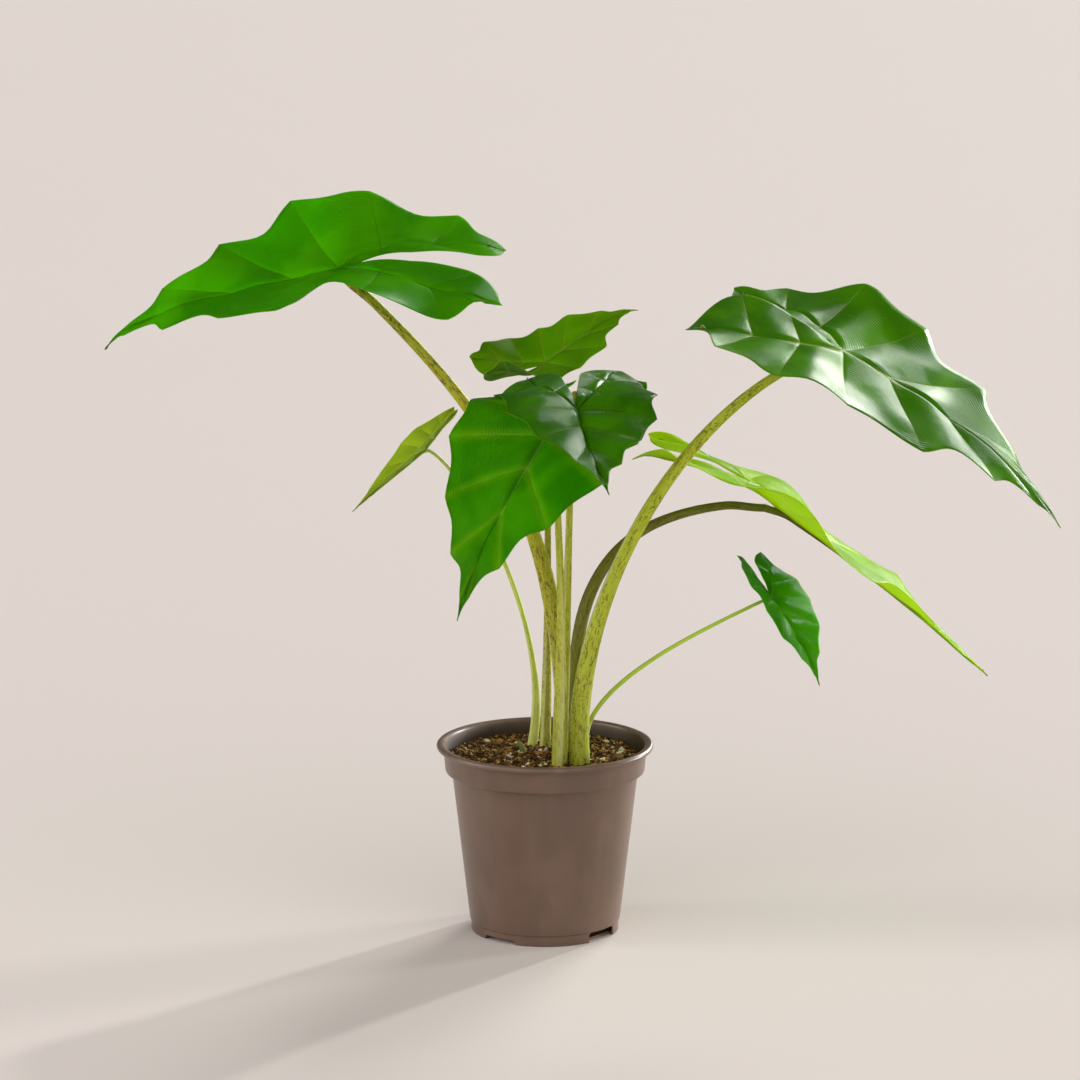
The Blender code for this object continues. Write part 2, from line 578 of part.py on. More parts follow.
def make_loose_bits(soil, looks, parent):
    """Perlite grains and bark chips: each an uneven block that lies just clear of the soil."""
    level = POT_HEIGHT - SOIL_BELOW_RIM
    reach = collar_radius(level) - WALL
    bpy.context.view_layer.update()
    ground = surface_tree(soil)
    counts = {}
    for number, (kind, angle, share, length, turn) in enumerate(LOOSE_BITS):
        counts[kind] = counts.get(kind, 0) + 1
        flat = (0.80, 0.72) if kind == "perlite" else (0.55, 0.30)
        shape = bmesh.new()
        bmesh.ops.create_icosphere(shape, subdivisions=1, radius=length / 2)
        for vert in shape.verts:
            vert.co *= 1 + 0.16 * sin(7.0 * number + 31.0 * vert.index)
        bmesh.ops.scale(shape, vec=(1, *flat), verts=shape.verts)
        bmesh.ops.rotate(shape, matrix=Matrix.Rotation(radians(turn), 3, "Z"), verts=shape.verts)
        x, y = reach * share * cos(radians(angle)), reach * share * sin(radians(angle))
        height = settled_height([vert.co.copy() for vert in shape.verts], ground, (x, y))
        mesh = mesh_from_bmesh(kind, shape, 25)
        bit = add_object(f"{kind}_{counts[kind]}", mesh, looks[kind], parent)
        bit.location = (x, y, height - level)


def main():
    for obj in list(bpy.data.objects):
        bpy.data.objects.remove(obj)

    root = add_empty("potted_alocasia", (0, 0, 0))
    soil_middle = np.array([0, 0, POT_HEIGHT - SOIL_BELOW_RIM])
    plant = add_empty("plant", soil_middle, root)
    make_pot(root)
    soil = make_soil(root)

    blade = material("leaf blade", (0.045, 0.150, 0.012), 0.35)
    stalk_look = material("mottled stalk", (0.330, 0.340, 0.060), 0.45)
    leaves = {name: make_leaf(name, leaf, blade, plant) for name, leaf in LEAVES.items()}
    bpy.context.view_layer.update()
    for name, leaf in LEAVES.items():
        stalk = STALKS[name]
        end = clear_end(stalk, leaf, surface_tree(leaves[name]), soil_middle)
        points, radii = stalk_run(stalk, leaf, end)
        mesh = mesh_from_bmesh(f"stalk_{name}", tube(points, radii, STALK_SIDES))
        add_object(f"stalk_{name}", mesh, stalk_look, plant)
        pocket(name, points[1], points[1] - points[0], radii[:2], POCKET_DEPTH, soil, plant)
    make_shoot(soil, material("young shoot", (0.420, 0.460, 0.130), 0.5), plant)
    looks = {
        "perlite": material("perlite", (0.700, 0.660, 0.580), 0.9),
        "bark_chip": material("bark chip", (0.190, 0.105, 0.045), 0.9),
    }
    make_loose_bits(soil, looks, plant)


main()
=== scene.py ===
"""The looks of a potted alocasia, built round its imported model: pot, potting mix, shoot and eight leaves.

Metres, +Z up, with the origin in the middle of the pot's base, and the front of the plant towards -Y. The
leaves and stalks repeat the model's own shape values, with veins, ribs, sheaths and quilting added.
"""

import json
from math import cos, exp, pi, radians, sin, tan, tau

import bmesh
import bpy
import numpy as np
from mathutils import Matrix, Vector, noise

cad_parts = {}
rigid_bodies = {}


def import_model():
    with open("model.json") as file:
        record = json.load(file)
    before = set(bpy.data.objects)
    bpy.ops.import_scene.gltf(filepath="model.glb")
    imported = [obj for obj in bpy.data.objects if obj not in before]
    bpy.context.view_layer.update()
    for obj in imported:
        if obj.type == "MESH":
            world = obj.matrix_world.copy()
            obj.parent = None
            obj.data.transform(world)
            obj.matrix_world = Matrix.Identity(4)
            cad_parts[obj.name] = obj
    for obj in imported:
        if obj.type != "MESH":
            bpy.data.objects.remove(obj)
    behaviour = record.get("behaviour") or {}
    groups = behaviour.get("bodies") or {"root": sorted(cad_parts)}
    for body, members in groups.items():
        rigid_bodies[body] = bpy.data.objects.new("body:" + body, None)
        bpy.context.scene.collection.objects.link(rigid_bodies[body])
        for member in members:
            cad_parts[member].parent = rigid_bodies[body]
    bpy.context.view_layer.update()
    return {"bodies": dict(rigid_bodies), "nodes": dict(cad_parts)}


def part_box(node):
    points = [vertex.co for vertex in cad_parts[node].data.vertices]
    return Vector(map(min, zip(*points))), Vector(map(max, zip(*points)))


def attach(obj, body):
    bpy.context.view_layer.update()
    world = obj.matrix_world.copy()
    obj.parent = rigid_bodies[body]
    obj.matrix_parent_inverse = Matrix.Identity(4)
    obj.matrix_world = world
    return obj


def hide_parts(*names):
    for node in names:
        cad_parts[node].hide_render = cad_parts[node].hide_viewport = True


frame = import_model()
BODY = next(iter(frame["bodies"]))

# ---------------------------------------------------------------- sizes that the model also has
POT_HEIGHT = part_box("nursery_pot")[1].z
RIM_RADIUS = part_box("nursery_pot")[1].x
BASE_RADIUS = 0.0660
WALL = 0.0018
LIP_OUT = 0.0058
LIP_DEPTH = 0.0052
COLLAR_HEIGHT = 0.026
COLLAR_DRAFT = 0.0018
COLLAR_STEP = 0.0059
FLOOR_THICKNESS = 0.0022
FOOT_HEIGHT = 0.0100
FOOT_STEP = 0.0012
NOTCH_WIDTH = 0.034
NOTCH_REACH = 0.009
NOTCH_COUNT = 4
NOTCH_TURN = 6.5
NOTCH_HEIGHTS = (0.0092, 0.0042)
SOIL_BELOW_RIM = 0.0135
SOIL_CROWN = 0.0030
SOIL_UNEVEN = 0.0013
SOIL_LEVEL = POT_HEIGHT - SOIL_BELOW_RIM
SOIL_MIDDLE = np.array([0, 0, SOIL_LEVEL])
COLLAR_LOW = POT_HEIGHT - COLLAR_HEIGHT

FRONT_MARGIN = (
    (0, 1), (0.012, 0.93), (0.046, 0.83), (0.128, 0.69), (0.235, 0.53), (0.335, 0.36), (0.41, 0.16))
LOBE_MARGIN = ((0.41, 0.16), (0.445, 0), (0.445, -0.17), (0.405, -0.34), (0.34, -0.48), (0.27, -0.58))
SINUS_MARGIN = ((0.27, -0.58), (0.205, -0.55), (0.15, -0.44), (0.10, -0.30), (0.05, -0.17), (0, -0.07))
LOBE_RIB_END = (0.243, -0.522)
HALF_WIDTH = 0.45
FRONT_VEINS, LOBE_VEINS, SINUS_VEINS = 4, 3, 2

LEAVES = {
    "high_left": dict(
        hub=(-0.180, 0.040, 0.428), heading=176, pitch=-15, roll=-12, length=0.222, width=1.05, lobe=1.15,
        fold=(2, 3), lobe_fold=(-14, -18), curl=(30, 16), droop=-6, hook=42, back=46, sweep=-1, twist=14,
        scallop=0.028, ruffle=0.020, sinus=(0.80, 0.35)),
    "high_right": dict(
        hub=(0.256, -0.029, 0.369), heading=-17, pitch=-27, roll=8, length=0.244, width=1.01, lobe=0.88,
        fold=(-6, -10), lobe_fold=(-11, -22), curl=(15, 33), droop=14, hook=16, back=35, sweep=2, twist=-4,
        scallop=0.026, ruffle=0.018, sinus=(-0.50, 0.75)),
    "hanging_front": dict(
        hub=(0.001, -0.084, 0.303), heading=224, pitch=-44, roll=2.5, length=0.179, width=1.12, lobe=0.78,
        fold=(22.5, 2), lobe_fold=(-20, -5), curl=(-13, -17), droop=21, hook=4, back=21, sweep=4, twist=-1,
        scallop=0.018, ruffle=0.010, sinus=(0.85, 0.85)),
    "upper_front": dict(
        hub=(0.027, -0.161, 0.341), heading=278, pitch=-22, roll=19, length=0.140, width=1.07, lobe=1.24,
        fold=(42, -2.5), lobe_fold=(14, -11), curl=(-24, -25), droop=-9, hook=15, back=39, sweep=-7,
        twist=4.5, scallop=0.018, ruffle=0.012, sinus=(0.40, 0.40)),
    "young_top": dict(
        hub=(0.000, 0.034, 0.346), heading=13.5, pitch=30.5, roll=5, length=0.098, width=1.11, lobe=1.12,
        fold=(-8, 21.5), lobe_fold=(37, 50), curl=(5, -14), droop=-2.5, hook=39, back=-38, sweep=-15,
        twist=-10, scallop=0.024, ruffle=0.016, sinus=(0.50, 0.50)),
    "low_right": dict(
        hub=(0.204, 0.064, 0.2137), heading=347, pitch=-35, roll=-11, length=0.239, width=1.01, lobe=0.95,
        fold=(4, 6), lobe_fold=(-4, 7), curl=(6, -9), droop=3, hook=4, back=52, sweep=3, twist=2,
        scallop=0.030, ruffle=0.034, sinus=(0.7, 0.7)),
    "small_left": dict(
        hub=(-0.105, 0.055, 0.2655), heading=192, pitch=-42, roll=4, length=0.085, width=1.01, lobe=0.88,
        fold=(19, 17), lobe_fold=(12, 24), curl=(-5, -2), droop=-9, hook=14, back=0, sweep=2, twist=-5,
        scallop=0.010, ruffle=0.006, sinus=(0.8, 0.8)),
    "small_right": dict(
        hub=(0.199, 0.048, 0.1335), heading=326, pitch=-49, roll=-6, length=0.090, width=1.16, lobe=0.82,
        fold=(15, 19), lobe_fold=(15, 5), curl=(1, -18), droop=8, hook=12, back=-10, sweep=-1, twist=-17,
        scallop=0.014, ruffle=0.008, sinus=(0.5, 0.5)),
}

STALKS = {
    "high_left": dict(
        foot=(0.021, 0.014), lean=(-2, -0.5), rise=0.51, azimuth=170, elevation=43,
        reach=0.34, thick=(0.0170, 0.0112, 0.0076), sheath=0.46),
    "high_right": dict(
        foot=(0.031, -0.030), lean=(-4.5, 0), rise=0.36, azimuth=0, elevation=12,
        reach=0.29, thick=(0.0172, 0.0112, 0.0064), sheath=0.48),
    "hanging_front": dict(
        foot=(0.013, -0.034), lean=(1, -0.5), rise=0.40, azimuth=-100, elevation=35,
        reach=0.31, thick=(0.0140, 0.0064, 0.0052), sheath=0.45),
    "upper_front": dict(
        foot=(0.0150, -0.0140), lean=(2, 1), rise=0.60, azimuth=-88, elevation=-13,
        reach=0.39, thick=(0.0096, 0.0058, 0.0048), sheath=0.42),
    "young_top": dict(
        foot=(0.0005, 0.0290), lean=(1.5, 0.5), rise=0.35, azimuth=110, elevation=85,
        reach=0.27, thick=(0.0098, 0.0060, 0.0046), sheath=0.40),
    "low_right": dict(
        foot=(0.0280, -0.002), lean=(-4, 0), rise=0.49, azimuth=10, elevation=-3,
        reach=0.60, thick=(0.0130, 0.0108, 0.0068), sheath=0.40),
    "small_left": dict(
        foot=(-0.0115, 0.036), lean=(12, 0), rise=0.37, azimuth=164, elevation=23,
        reach=0.15, thick=(0.0085, 0.0045, 0.0028), sheath=0.35),
    "small_right": dict(
        foot=(0.0370, 0.012), lean=(-14.5, -1), rise=0.29, azimuth=15, elevation=24,
        reach=0.26, thick=(0.0070, 0.0042, 0.0028), sheath=0.20),
}

SHOOT_FOOT = (-0.018, 0.008)
SHOOT_HEIGHT = 0.013
SHOOT_DIAMETER = 0.0075
SHOOT_LEAN = (-28, 0)

# ---------------------------------------------------------------- detail that only the looks have
# Colours are linear. "deep" and "fresh" are the blade's own range, and "streak" is the yellow-green glow
# beside its veins. "clear" is how much light the blade lets through. "line" is how strongly its ribs and
# veins show: pale above 0, and dark below. "gloss" is the strength of its shine.
LEAF_LOOKS = {
    "high_left": dict(
        deep=(0.040, 0.200, 0.0002), fresh=(0.105, 0.400, 0.0004),
        streak=0.10, clear=0.58, line=-0.90, gloss=0.07),
    "high_right": dict(
        deep=(0.040, 0.165, 0.0002), fresh=(0.095, 0.320, 0.0004),
        streak=0.08, clear=0.36, line=0.90, gloss=0.20),
    "hanging_front": dict(
        deep=(0.026, 0.150, 0.0002), fresh=(0.080, 0.330, 0.0004),
        streak=0.95, clear=0.50, line=0.30, gloss=0.09),
    "upper_front": dict(
        deep=(0.024, 0.120, 0.0002), fresh=(0.056, 0.250, 0.0004),
        streak=0.20, clear=0.28, line=-0.60, gloss=0.14),
    "young_top": dict(
        deep=(0.085, 0.200, 0.0002), fresh=(0.170, 0.370, 0.0004),
        streak=0.12, clear=0.46, line=0.25, gloss=0.14),
    "low_right": dict(
        deep=(0.290, 0.680, 0.0020), fresh=(0.480, 0.880, 0.0050),
        streak=0.10, clear=0.55, line=0.15, gloss=0.16),
    "small_left": dict(
        deep=(0.260, 0.420, 0.0180), fresh=(0.380, 0.560, 0.0350),
        streak=0.10, clear=0.45, line=0.2, gloss=0.16),
    "small_right": dict(
        deep=(0.036, 0.200, 0.0002), fresh=(0.085, 0.380, 0.0004),
        streak=0.12, clear=0.50, line=0.25, gloss=0.04),
}

# Colours of each stalk at its foot, in its middle and at the hub, and how dark its flecks are.
STALK_LOOKS = {
    "high_left": dict(
        foot=(0.42, 0.40, 0.040), middle=(0.44, 0.42, 0.012), top=(0.42, 0.44, 0.012), flecks=0.90),
    "high_right": dict(
        foot=(0.38, 0.42, 0.035), middle=(0.50, 0.56, 0.025), top=(0.38, 0.46, 0.008), flecks=0.75),
    "hanging_front": dict(
        foot=(0.40, 0.42, 0.050), middle=(0.46, 0.48, 0.030), top=(0.42, 0.50, 0.015), flecks=0.50),
    "upper_front": dict(
        foot=(0.38, 0.38, 0.050), middle=(0.46, 0.48, 0.030), top=(0.44, 0.52, 0.015), flecks=0.60),
    "young_top": dict(
        foot=(0.50, 0.50, 0.100), middle=(0.40, 0.40, 0.020), top=(0.40, 0.46, 0.010), flecks=0.80),
    "low_right": dict(
        foot=(0.20, 0.20, 0.015), middle=(0.140, 0.140, 0.004), top=(0.100, 0.110, 0.003), flecks=0.70),
    "small_left": dict(
        foot=(0.66, 0.70, 0.180), middle=(0.60, 0.72, 0.140), top=(0.60, 0.70, 0.160), flecks=0.25),
    "small_right": dict(
        foot=(0.46, 0.58, 0.080), middle=(0.46, 0.66, 0.060), top=(0.42, 0.64, 0.040), flecks=0.12),
}
SHEATH_EDGES = {  # where the sheath's free edge runs, in degrees round the stalk from +X
    "high_left": 200, "high_right": 205, "hanging_front": -60, "upper_front": 250, "young_top": -100,
    "low_right": 160, "small_left": -120, "small_right": -40,
}

VEIN_CROWDING = 1.22  # over 1, the front's side veins leave the midrib closer together towards the hub
VEIN_STEPS = 8  # rows of the blade's mesh from a side vein to halfway to the next
COLUMNS = 26  # columns of the blade's mesh from the rib to the margin
MIDLINE_STEPS = 48  # steps of the blade's bent line from the hub to its tip
BLADE_THICKNESS = 0.00055
RIB_RISE = 0.0026  # how far the midrib stands out under the blade, at the hub of the largest leaf
VEIN_RISE = 0.0010
CHANNEL = 0.0045  # how deep the midrib's channel is in the upper face, as a share of the leaf's length
PUFF = 0.012  # how far the blade swells between its side veins, as a share of the leaf's length
POT_SEGMENTS = 160
SOIL_RINGS = 80
SOIL_LUMPS = ((0.0012, 150), (0.0008, 420), (0.0005, 900))  # height of the soil's lumps, and how fine they are
STALK_SIDES = 28
STALK_RINGS = 90
RIB_RINGS = 25  # rings of the stalk's end, which runs on under the blade


# ---------------------------------------------------------------- small helpers
def smoothstep(share):
    share = np.clip(share, 0, 1)
    return share * share * (3 - 2 * share)


def curve_through(points, shares):
    """Points of a smooth curve (Catmull-Rom) through the given points, at shares 0 to 1 of its run."""
    points = np.array(points, float)
    points = np.vstack([2 * points[0] - points[1], points, 2 * points[-1] - points[-2]])
    spans = len(points) - 3
    place = np.clip(np.asarray(shares) * spans, 0, spans - 1e-9)
    first = place.astype(int)
    part = (place - first)[:, None]
    a, b, c, d = (points[first + step] for step in range(4))
    return 0.5 * (
        2 * b + (c - a) * part + (2 * a - 5 * b + 4 * c - d) * part**2 + (3 * b - a - 3 * c + d) * part**3
    )


def new_object(name, data):
    obj = bpy.data.objects.new(name, data)
    bpy.context.scene.collection.objects.link(obj)
    return obj


def finished_mesh(name, shape):
    mesh = bpy.data.meshes.new(name)
    shape.to_mesh(mesh)
    shape.free()
    return mesh


def add_piece(name, mesh, materials, node):
    """A piece that rides the plant's body, with the CAD node it stands for, if any, and its finish's slot."""
    piece = new_object(name, mesh)
    for look in materials:
        mesh.materials.append(look)
    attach(piece, BODY)
    if node:
        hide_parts(node)
    return piece


def give_points(mesh, name, values, domain="POINT"):
    """Stores three numbers on every point or corner, for the materials to read."""
    layer = mesh.attributes.new(name, "FLOAT_VECTOR", domain)
    layer.data.foreach_set("vector", np.ascontiguousarray(values, np.float32).reshape(-1))


def smooth(mesh, angle=None):
    """Shades a mesh smooth, except at edges sharper than the angle, in degrees."""
    mesh.shade_smooth()
    if angle:
        mesh.set_sharp_from_angle(angle=radians(angle))
    return mesh


def toned(colour, factor, extra=(0, 0, 0)):
    """A colour that is scaled, by one factor or by one for each part, and raised, to 1 at most."""
    return tuple(np.minimum(np.array(colour) * factor + extra, 1.0).tolist())


# ---------------------------------------------------------------- materials
class Nodes:
    """A short way to write a material's nodes."""

    def __init__(self, name):
        self.material = bpy.data.materials.new(name)
        self.material.use_nodes = True
        self.tree = self.material.node_tree
        self.shader = self.tree.nodes["Principled BSDF"]
        self.output = self.tree.nodes["Material Output"]

    def add(self, kind, inputs=None, **settings):
        node = self.tree.nodes.new(f"ShaderNode{kind}")
        for key, value in settings.items():
            setattr(node, key, value)
        for key, value in (inputs or {}).items():
            self.put(node.inputs[key], value)
        return node

    def put(self, socket, value):
        if isinstance(value, bpy.types.NodeSocket):
            self.tree.links.new(value, socket)
        elif isinstance(value, tuple) and len(value) == 3 and socket.type == "RGBA":
            socket.default_value = (*value, 1)
        else:
            socket.default_value = value

    def attribute(self, name):
        return self.add("Attribute", attribute_name=name).outputs["Vector"]

    def split(self, vector):
        return self.add("SeparateXYZ", {"Vector": vector}).outputs

    def join(self, x, y, z):
        return self.add("CombineXYZ", {"X": x, "Y": y, "Z": z}).outputs["Vector"]

    def math(self, operation, first, second=0.0):
        return self.add("Math", {0: first, 1: second}, operation=operation).outputs[0]

    def times(self, first, second):
        return self.math("MULTIPLY", first, second)

    def plus(self, first, second):
        return self.math("ADD", first, second)

    def scaled(self, vector, scale):
        return self.add("VectorMath", {0: vector, 1: scale}, operation="MULTIPLY").outputs[0]

    def ramp(self, value, low, high, start=0.0, end=1.0):
        """start below low, end above high, and a smooth change between."""
        inputs = {"Value": value, "From Min": low, "From Max": high, "To Min": start, "To Max": end}
        return self.add("MapRange", inputs, interpolation_type="SMOOTHSTEP").outputs["Result"]

    def noise(self, vector, scale, detail=3.0, distortion=0.0, roughness=0.5):
        inputs = {"Vector": vector, "Scale": scale, "Detail": detail, "Distortion": distortion,
                  "Roughness": roughness}
        return self.add("TexNoise", inputs).outputs["Fac"]

    def mix(self, share, first, second):
        node = self.add("Mix", data_type="RGBA")
        for number, value in ((0, share), (6, first), (7, second)):
            self.put(node.inputs[number], value)
        return node.outputs[2]

    def bump(self, height, distance, strength=1.0, before=None):
        inputs = {"Height": height, "Distance": distance, "Strength": strength}
        if before:
            inputs["Normal"] = before
        return self.add("Bump", inputs).outputs["Normal"]

    def place(self):
        return self.add("TexCoord").outputs["Object"]

    def surface(self, **sockets):
        for key, value in sockets.items():
            self.put(self.shader.inputs[key.replace("_", " ")], value)


def blade_patterns(made):
    """What both faces of a blade share: how far its rib, side veins and margin are in millimetres, its place,
    and the masks of its main lines and fine veins."""
    share, branch, _ = made.split(made.attribute("blade"))
    rib, vein, edge = made.split(made.attribute("reach"))
    place = made.place()
    wobble = made.math("SUBTRACT", made.noise(place, 30.0, 2.0), 0.5)
    rib_line = made.ramp(rib, 0.35, 1.20, 1.0, 0.0)
    vein_line = made.times(made.ramp(vein, 0.10, 0.70, 1.0, 0.0), made.ramp(share, 0.45, 1.0, 0.8, 0.15))
    lines = made.math("MAXIMUM", rib_line, made.times(vein_line, 0.75))
    # Fine veins run from side vein to side vein, and bend towards the margin halfway.
    halfway = made.math("ABSOLUTE", made.math("SINE", made.times(branch, pi)))
    bend = made.times(halfway, -0.055)
    run = made.plus(made.plus(share, bend), made.times(wobble, 0.035))
    fine = made.math("SINE", made.times(run, 200.0))
    patches = made.ramp(made.noise(place, 20.0, 2.0), 0.40, 0.62, 0.15, 1.0)
    fine = made.times(made.ramp(fine, -0.4, 1.0), patches)
    return dict(rib=rib, vein=vein, edge=edge, place=place, lines=lines, fine=fine)


def let_light_through(made, colour, clear, normal):
    """Adds the light that shines through a thin blade: clear is its share."""
    through = made.add("BsdfTranslucent", {"Color": colour, "Normal": normal})
    both = made.add("MixShader", {"Fac": clear})
    made.tree.links.new(made.shader.outputs[0], both.inputs[1])
    made.tree.links.new(through.outputs[0], both.inputs[2])
    made.tree.links.new(both.outputs[0], made.output.inputs["Surface"])


def leaf_top_material(name, look):
    """The glossy upper face: mottled green, yellow beside the veins, with painted light in yellow along the
    margin, and finely rippled.
    """
    made = Nodes(f"{name}_upper")
    on = blade_patterns(made)
    deep, fresh = look["deep"], look["fresh"]
    clouds = made.noise(on["place"], 14.0, 4.0, 0.6)
    grain = made.noise(on["place"], 240.0, 2.0)
    tone = made.plus(made.ramp(clouds, 0.36, 0.64, 0.0, 0.85), made.times(grain, 0.30))
    colour = made.mix(tone, deep, fresh)
    glow = made.times(made.ramp(on["vein"], 0.0, 9.0, 1.0, 0.0), made.noise(on["place"], 26.0, 3.0, 1.2))
    glow = made.times(glow, look["streak"])
    yellow = toned(fresh, (2.6, 1.45, 1.4), (0.03, 0, 0))
    colour = made.mix(glow, colour, yellow)
    colour = made.mix(made.times(on["fine"], 0.30), colour, toned(deep, 0.55))
    line_colour = toned(yellow, 0.55, (0.3825, 0.315, 0.225)) if look["line"] > 0 else toned(deep, 0.45)
    colour = made.mix(made.times(on["lines"], abs(look["line"])), colour, line_colour)
    # Painted light: a yellow band along the margin, as if light shone through the thin rim.
    colour = made.mix(made.ramp(on["edge"], 0.0, 1.1, 0.45, 0.0), colour, yellow)
    shine = made.plus(0.17, made.times(made.noise(on["place"], 60.0, 4.0), 0.16))
    shine = made.plus(shine, made.times(on["lines"], 0.10))
    height = made.times(on["fine"], -0.5)
    height = made.plus(height, made.times(grain, 0.35))
    normal = made.bump(height, 0.00045, 0.8)
    made.surface(Base_Color=colour, Roughness=shine, Normal=normal, IOR=1.45,
                 Specular_IOR_Level=look["gloss"], Specular_Tint=(0.80, 1.0, 0.50, 1.0))
    light = made.mix(0.5, colour, toned(fresh, 2.4))
    light = made.mix(made.times(on["lines"], 0.35), light, deep)
    let_light_through(made, light, look["clear"], normal)
    return made.material


def leaf_under_material(name, look):
    """The dull, paler underside, with light ribs and side veins."""
    made = Nodes(f"{name}_underside")
    on = blade_patterns(made)
    pale = toned(look["fresh"], 0.62, (0.040, 0.095, 0.002))
    dull = toned(look["deep"], 0.60, (0.022, 0.060, 0.001))
    clouds = made.noise(on["place"], 18.0, 4.0, 0.5)
    colour = made.mix(made.ramp(clouds, 0.3, 0.7), dull, pale)
    colour = made.mix(made.times(on["fine"], 0.18), colour, toned(pale, 1.35))
    rib = (0.26, 0.36, 0.05)
    colour = made.mix(made.ramp(on["rib"], 1.6, 3.4, 0.80, 0.0), colour, rib)
    colour = made.mix(made.times(made.ramp(on["vein"], 0.5, 1.8, 1.0, 0.0), 0.55), colour, rib)
    grain = made.noise(on["place"], 320.0, 3.0)
    height = made.plus(made.times(on["fine"], 0.7), made.times(grain, 0.4))
    normal = made.bump(height, 0.00020, 0.7)
    shine = made.plus(0.42, made.times(clouds, 0.16))
    made.surface(Base_Color=colour, Roughness=shine, Normal=normal, IOR=1.45, Specular_IOR_Level=0.15)
    light = made.mix(0.5, colour, toned(look["fresh"], 2.4))
    let_light_through(made, light, look["clear"], normal)
    return made.material


def stalk_material(name, look):
    """Fleshy stalk: pale to olive along its run, with brown-red flecks drawn out along it."""
    made = Nodes(name)
    across_x, across_y, along = made.split(made.attribute("round"))
    run, _, edge = made.split(made.attribute("run"))
    colour = made.mix(made.ramp(run, 0.02, 0.45), look["foot"], look["middle"])
    colour = made.mix(made.ramp(run, 0.50, 0.98), colour, look["top"])
    drawn = made.join(across_x, across_y, made.times(along, 0.30))
    clouds = made.noise(drawn, 0.16, 4.0, 0.8)
    colour = made.mix(made.ramp(clouds, 0.35, 0.75, 0.0, 0.35), colour, toned(look["middle"], 0.62))
    flecks = made.ramp(made.noise(drawn, 0.62, 3.0, 1.2, 0.60), 0.50, 0.58)
    patchy = made.ramp(made.noise(drawn, 0.16, 2.0), 0.36, 0.56, 0.25, 1.0)
    flecks = made.times(made.times(flecks, patchy), look["flecks"])
    colour = made.mix(flecks, colour, (0.085, 0.034, 0.006))
    threads = made.noise(made.join(across_x, across_y, made.times(along, 0.03)), 1.6, 2.0)
    colour = made.mix(made.times(made.ramp(threads, 0.4, 0.7), 0.16), colour, (0.55, 0.62, 0.16))
    colour = made.mix(made.times(edge, 0.70), colour, (0.60, 0.62, 0.26))
    height = made.plus(made.times(threads, 0.8), made.times(flecks, -0.35))
    normal = made.bump(height, 0.00030, 0.8)
    shine = made.plus(0.34, made.times(clouds, 0.22))
    made.surface(Base_Color=colour, Roughness=shine, Normal=normal, IOR=1.40, Specular_IOR_Level=0.3)
    made.surface(Subsurface_Weight=0.10, Subsurface_Radius=(0.003, 0.004, 0.001), Subsurface_Scale=1.0)
    return made.material


def pot_material():
    """Moulded plastic with a fine satin grain, faint flow marks, a few scuffs, and dust on the lip. It is
    duller inside the collar, and darker there with painted shade."""
    made = Nodes("taupe_plastic")
    place = made.place()
    x, y, z = made.split(place)
    flow = made.noise(made.join(x, y, made.times(z, 0.12)), 55.0, 4.0, 0.4)
    clouds = made.noise(place, 22.0, 4.0, 0.5)
    colour = made.mix(made.ramp(clouds, 0.3, 0.7), (0.125, 0.077, 0.052), (0.148, 0.092, 0.063))
    colour = made.mix(made.times(made.ramp(flow, 0.45, 0.75), 0.22), colour, (0.200, 0.132, 0.096))
    grain = made.noise(place, 1500.0, 2.0)
    scuffs = made.noise(made.scaled(place, (1.0, 1.0, 6.0)), 90.0, 5.0, 1.5, 0.7)
    scuffs = made.ramp(scuffs, 0.66, 0.74)
    colour = made.mix(made.times(scuffs, 0.35), colour, (0.300, 0.215, 0.165))
    dust = made.times(made.ramp(z, POT_HEIGHT - 0.012, POT_HEIGHT), made.ramp(clouds, 0.35, 0.75))
    colour = made.mix(made.times(dust, 0.30), colour, (0.330, 0.245, 0.185))
    # Painted shade: the inner wall above the soil is darkened almost to black, as if in shadow. It is also
    # made duller there.
    radius = made.add("VectorMath", {0: made.join(x, y, 0.0)}, operation="LENGTH").outputs["Value"]
    inside = made.ramp(radius, RIM_RADIUS - 0.0085, RIM_RADIUS - 0.0070, 1.0, 0.0)
    inside = made.times(inside, made.ramp(z, POT_HEIGHT - 0.022, POT_HEIGHT - 0.018))
    colour = made.mix(made.times(inside, 0.90), colour, (0.036, 0.021, 0.012))
    shine = made.plus(0.27, made.times(flow, 0.12))
    shine = made.plus(shine, made.times(scuffs, 0.15))
    shine = made.plus(shine, made.times(inside, 0.45))
    normal = made.bump(grain, 0.00004, 0.5)
    normal = made.bump(flow, 0.00020, 0.30, normal)
    made.surface(Base_Color=colour, Roughness=shine, Normal=normal, IOR=1.49)
    return made.material


def earth_material(name, dark, light, rough=0.92, scale=260.0):
    """Dry, crumbly matter: two tones, broken up finely, with a rough grain."""
    made = Nodes(name)
    place = made.place()
    clouds = made.noise(place, scale, 4.0, 0.6)
    grain = made.noise(place, scale * 6, 3.0)
    patches = made.noise(place, scale * 0.18, 3.0)
    colour = made.mix(made.ramp(clouds, 0.30, 0.70), dark, light)
    colour = made.mix(made.times(made.ramp(patches, 0.45, 0.70), 0.5), colour, toned(dark, 0.5))
    height = made.plus(clouds, made.times(grain, 0.5))
    normal = made.bump(height, 0.0006, 0.9)
    shine = made.plus(rough - 0.10, made.times(grain, 0.16))
    made.surface(Base_Color=colour, Roughness=shine, Normal=normal, Specular_IOR_Level=0.15)
    return made.material


# ---------------------------------------------------------------- leaves
def branch_places(veins):
    """Row places from 0 to the number of side veins: close together at each vein, and wide apart between."""
    half = 0.5 * np.linspace(0, 1, VEIN_STEPS + 1) ** 1.8
    span = np.concatenate([half[:-1], 1 - half[:0:-1]])
    return np.concatenate([span + number for number in range(veins)] + [[veins]])


